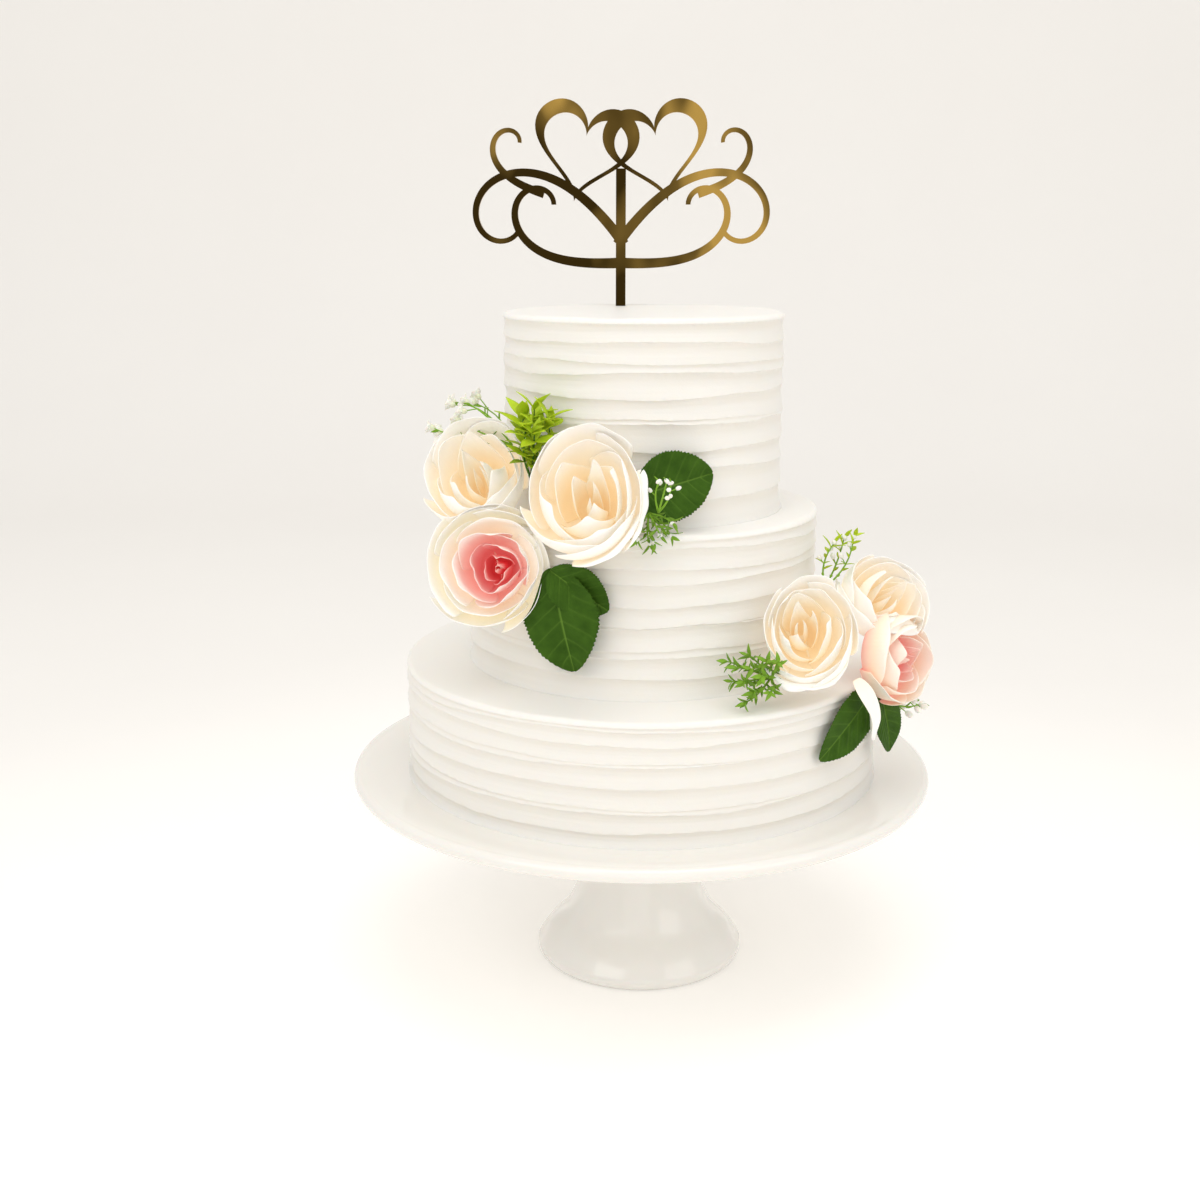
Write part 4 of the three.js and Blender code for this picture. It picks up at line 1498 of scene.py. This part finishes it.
SPRIGS = (
    Sprig("sprig_left_blossom", Slot.BLOSSOM, (-56, 88.5, 331), (-79, 112, 346), 1, 8, 0.5,
          leaflets=4, leaf=6, blossoms=2, bloom=6.4),
    Sprig("sprig_left_fern", Slot.SPRIG, (-42, 92, 315), (-37, 98, 352), 2, 6, 0.3,
          leaflets=13, leaf=16, leaf_wide=0.42, colour=LIME, stem_colour=MOSS),
    Sprig("sprig_left_buds", Slot.BLOSSOM, (4.5, 111.5, 304), (7, 113, 325), 3, 3, 0.4,
          buds=3, bud=1.5, leaflets=1, leaf=4),
    Sprig("sprig_left_tuft", Slot.SPRIG, (2, 108, 303), (5.5, 116, 288), 4, 7, 0.9,
          leaflets=8, leaf=7, leaf_wide=0.28, buds=1, bud=1.3),
    Sprig("sprig_right_top", Slot.SPRIG, (62, 118, 250), (69, 124, 279), 5, 3, 0.2,
          leaflets=10, leaf=8, leaf_wide=0.34, buds=3, bud=1.8, colour=LIME),
    Sprig("sprig_right_low", Slot.SPRIG, (34, 127, 212), (24, 138, 220), 6, 12, 0.75,
          leaflets=10, leaf=7.0, leaf_wide=0.34),
    Sprig("sprig_right_beads", Slot.BLOSSOM, (78, 150, 176), (81, 170, 178), 7, 5, 0.8,
          leaflets=4, leaf=6, buds=2, bud=2.4),
)

# root stops are darker and warmer: the petals' own peach or pink centre together with painted shade
# deep in the bloom
PETALS = {
    Tone.CREAM: PetalFinish(
        "petal_cream",
        heart=((0.88, 0.69, 0.42), (0.95, 0.87, 0.72), (0.96, 0.92, 0.84)),
        middle=((0.91, 0.76, 0.52), (0.955, 0.895, 0.78), (0.965, 0.935, 0.87)),
        guard=((0.935, 0.83, 0.66), (0.96, 0.92, 0.85), (0.97, 0.955, 0.93)),
    ),
    Tone.BLUSH: PetalFinish(
        "petal_blush",
        heart=((0.7, 0.015, 0.022), (0.85, 0.09, 0.1), (0.95, 0.55, 0.51)),
        middle=((0.9, 0.36, 0.34), (0.955, 0.76, 0.7), (0.97, 0.92, 0.87)),
        guard=((0.92, 0.84, 0.66), (0.955, 0.925, 0.85), (0.97, 0.955, 0.93)),
    ),
    Tone.FLUSH: PetalFinish(
        "petal_flush",
        heart=((0.8, 0.12, 0.13), (0.91, 0.33, 0.31), (0.95, 0.62, 0.56)),
        middle=((0.88, 0.3, 0.28), (0.95, 0.7, 0.6), (0.96, 0.88, 0.79)),
        guard=((0.92, 0.45, 0.4), (0.955, 0.77, 0.62), (0.97, 0.92, 0.84)),
    ),
}


def main() -> None:
    """Build every part of the cake in order, then the studio."""
    logging.basicConfig(level=logging.INFO, format="%(name)s %(message)s")
    icing = IcingFinish().material()
    petals = {tone: finish.material() for tone, finish in PETALS.items()}
    leaf = LeafFinish().material()
    sprig = SprigFinish("sprig_mould").material()
    blossom = SprigFinish("blossom_mould", 0.93).material()
    Stand().build()
    tiers = (BOTTOM, MIDDLE, TOP)
    for tier in tiers:
        tier.build(icing)
    Topper().build()
    walls = [TierSpace(t.radius, t.base + t.height) for t in tiers]
    sprays = ((LEFT_CREAM, LEFT_BLUSH, LEFT_BACK), (RIGHT_CREAM, RIGHT_BLUSH, RIGHT_BACK))
    for spray in sprays:
        taken: list[Space] = []
        for rose in spray:
            rose.build(petals[rose.tone], [*taken, *walls])
            taken.append(BloomSpace(rose))
    blooms = [BloomSpace(rose) for spray in sprays for rose in spray]
    DroopPetal().build(petals[Tone.CREAM], walls)
    for blade in LEAVES:
        blade.build(leaf, [*blooms, *walls])
    for twig in SPRIGS:
        twig.build(blossom if twig.slot is Slot.BLOSSOM else sprig, walls)
    Studio().build()


if __name__ == "__main__":
    main()
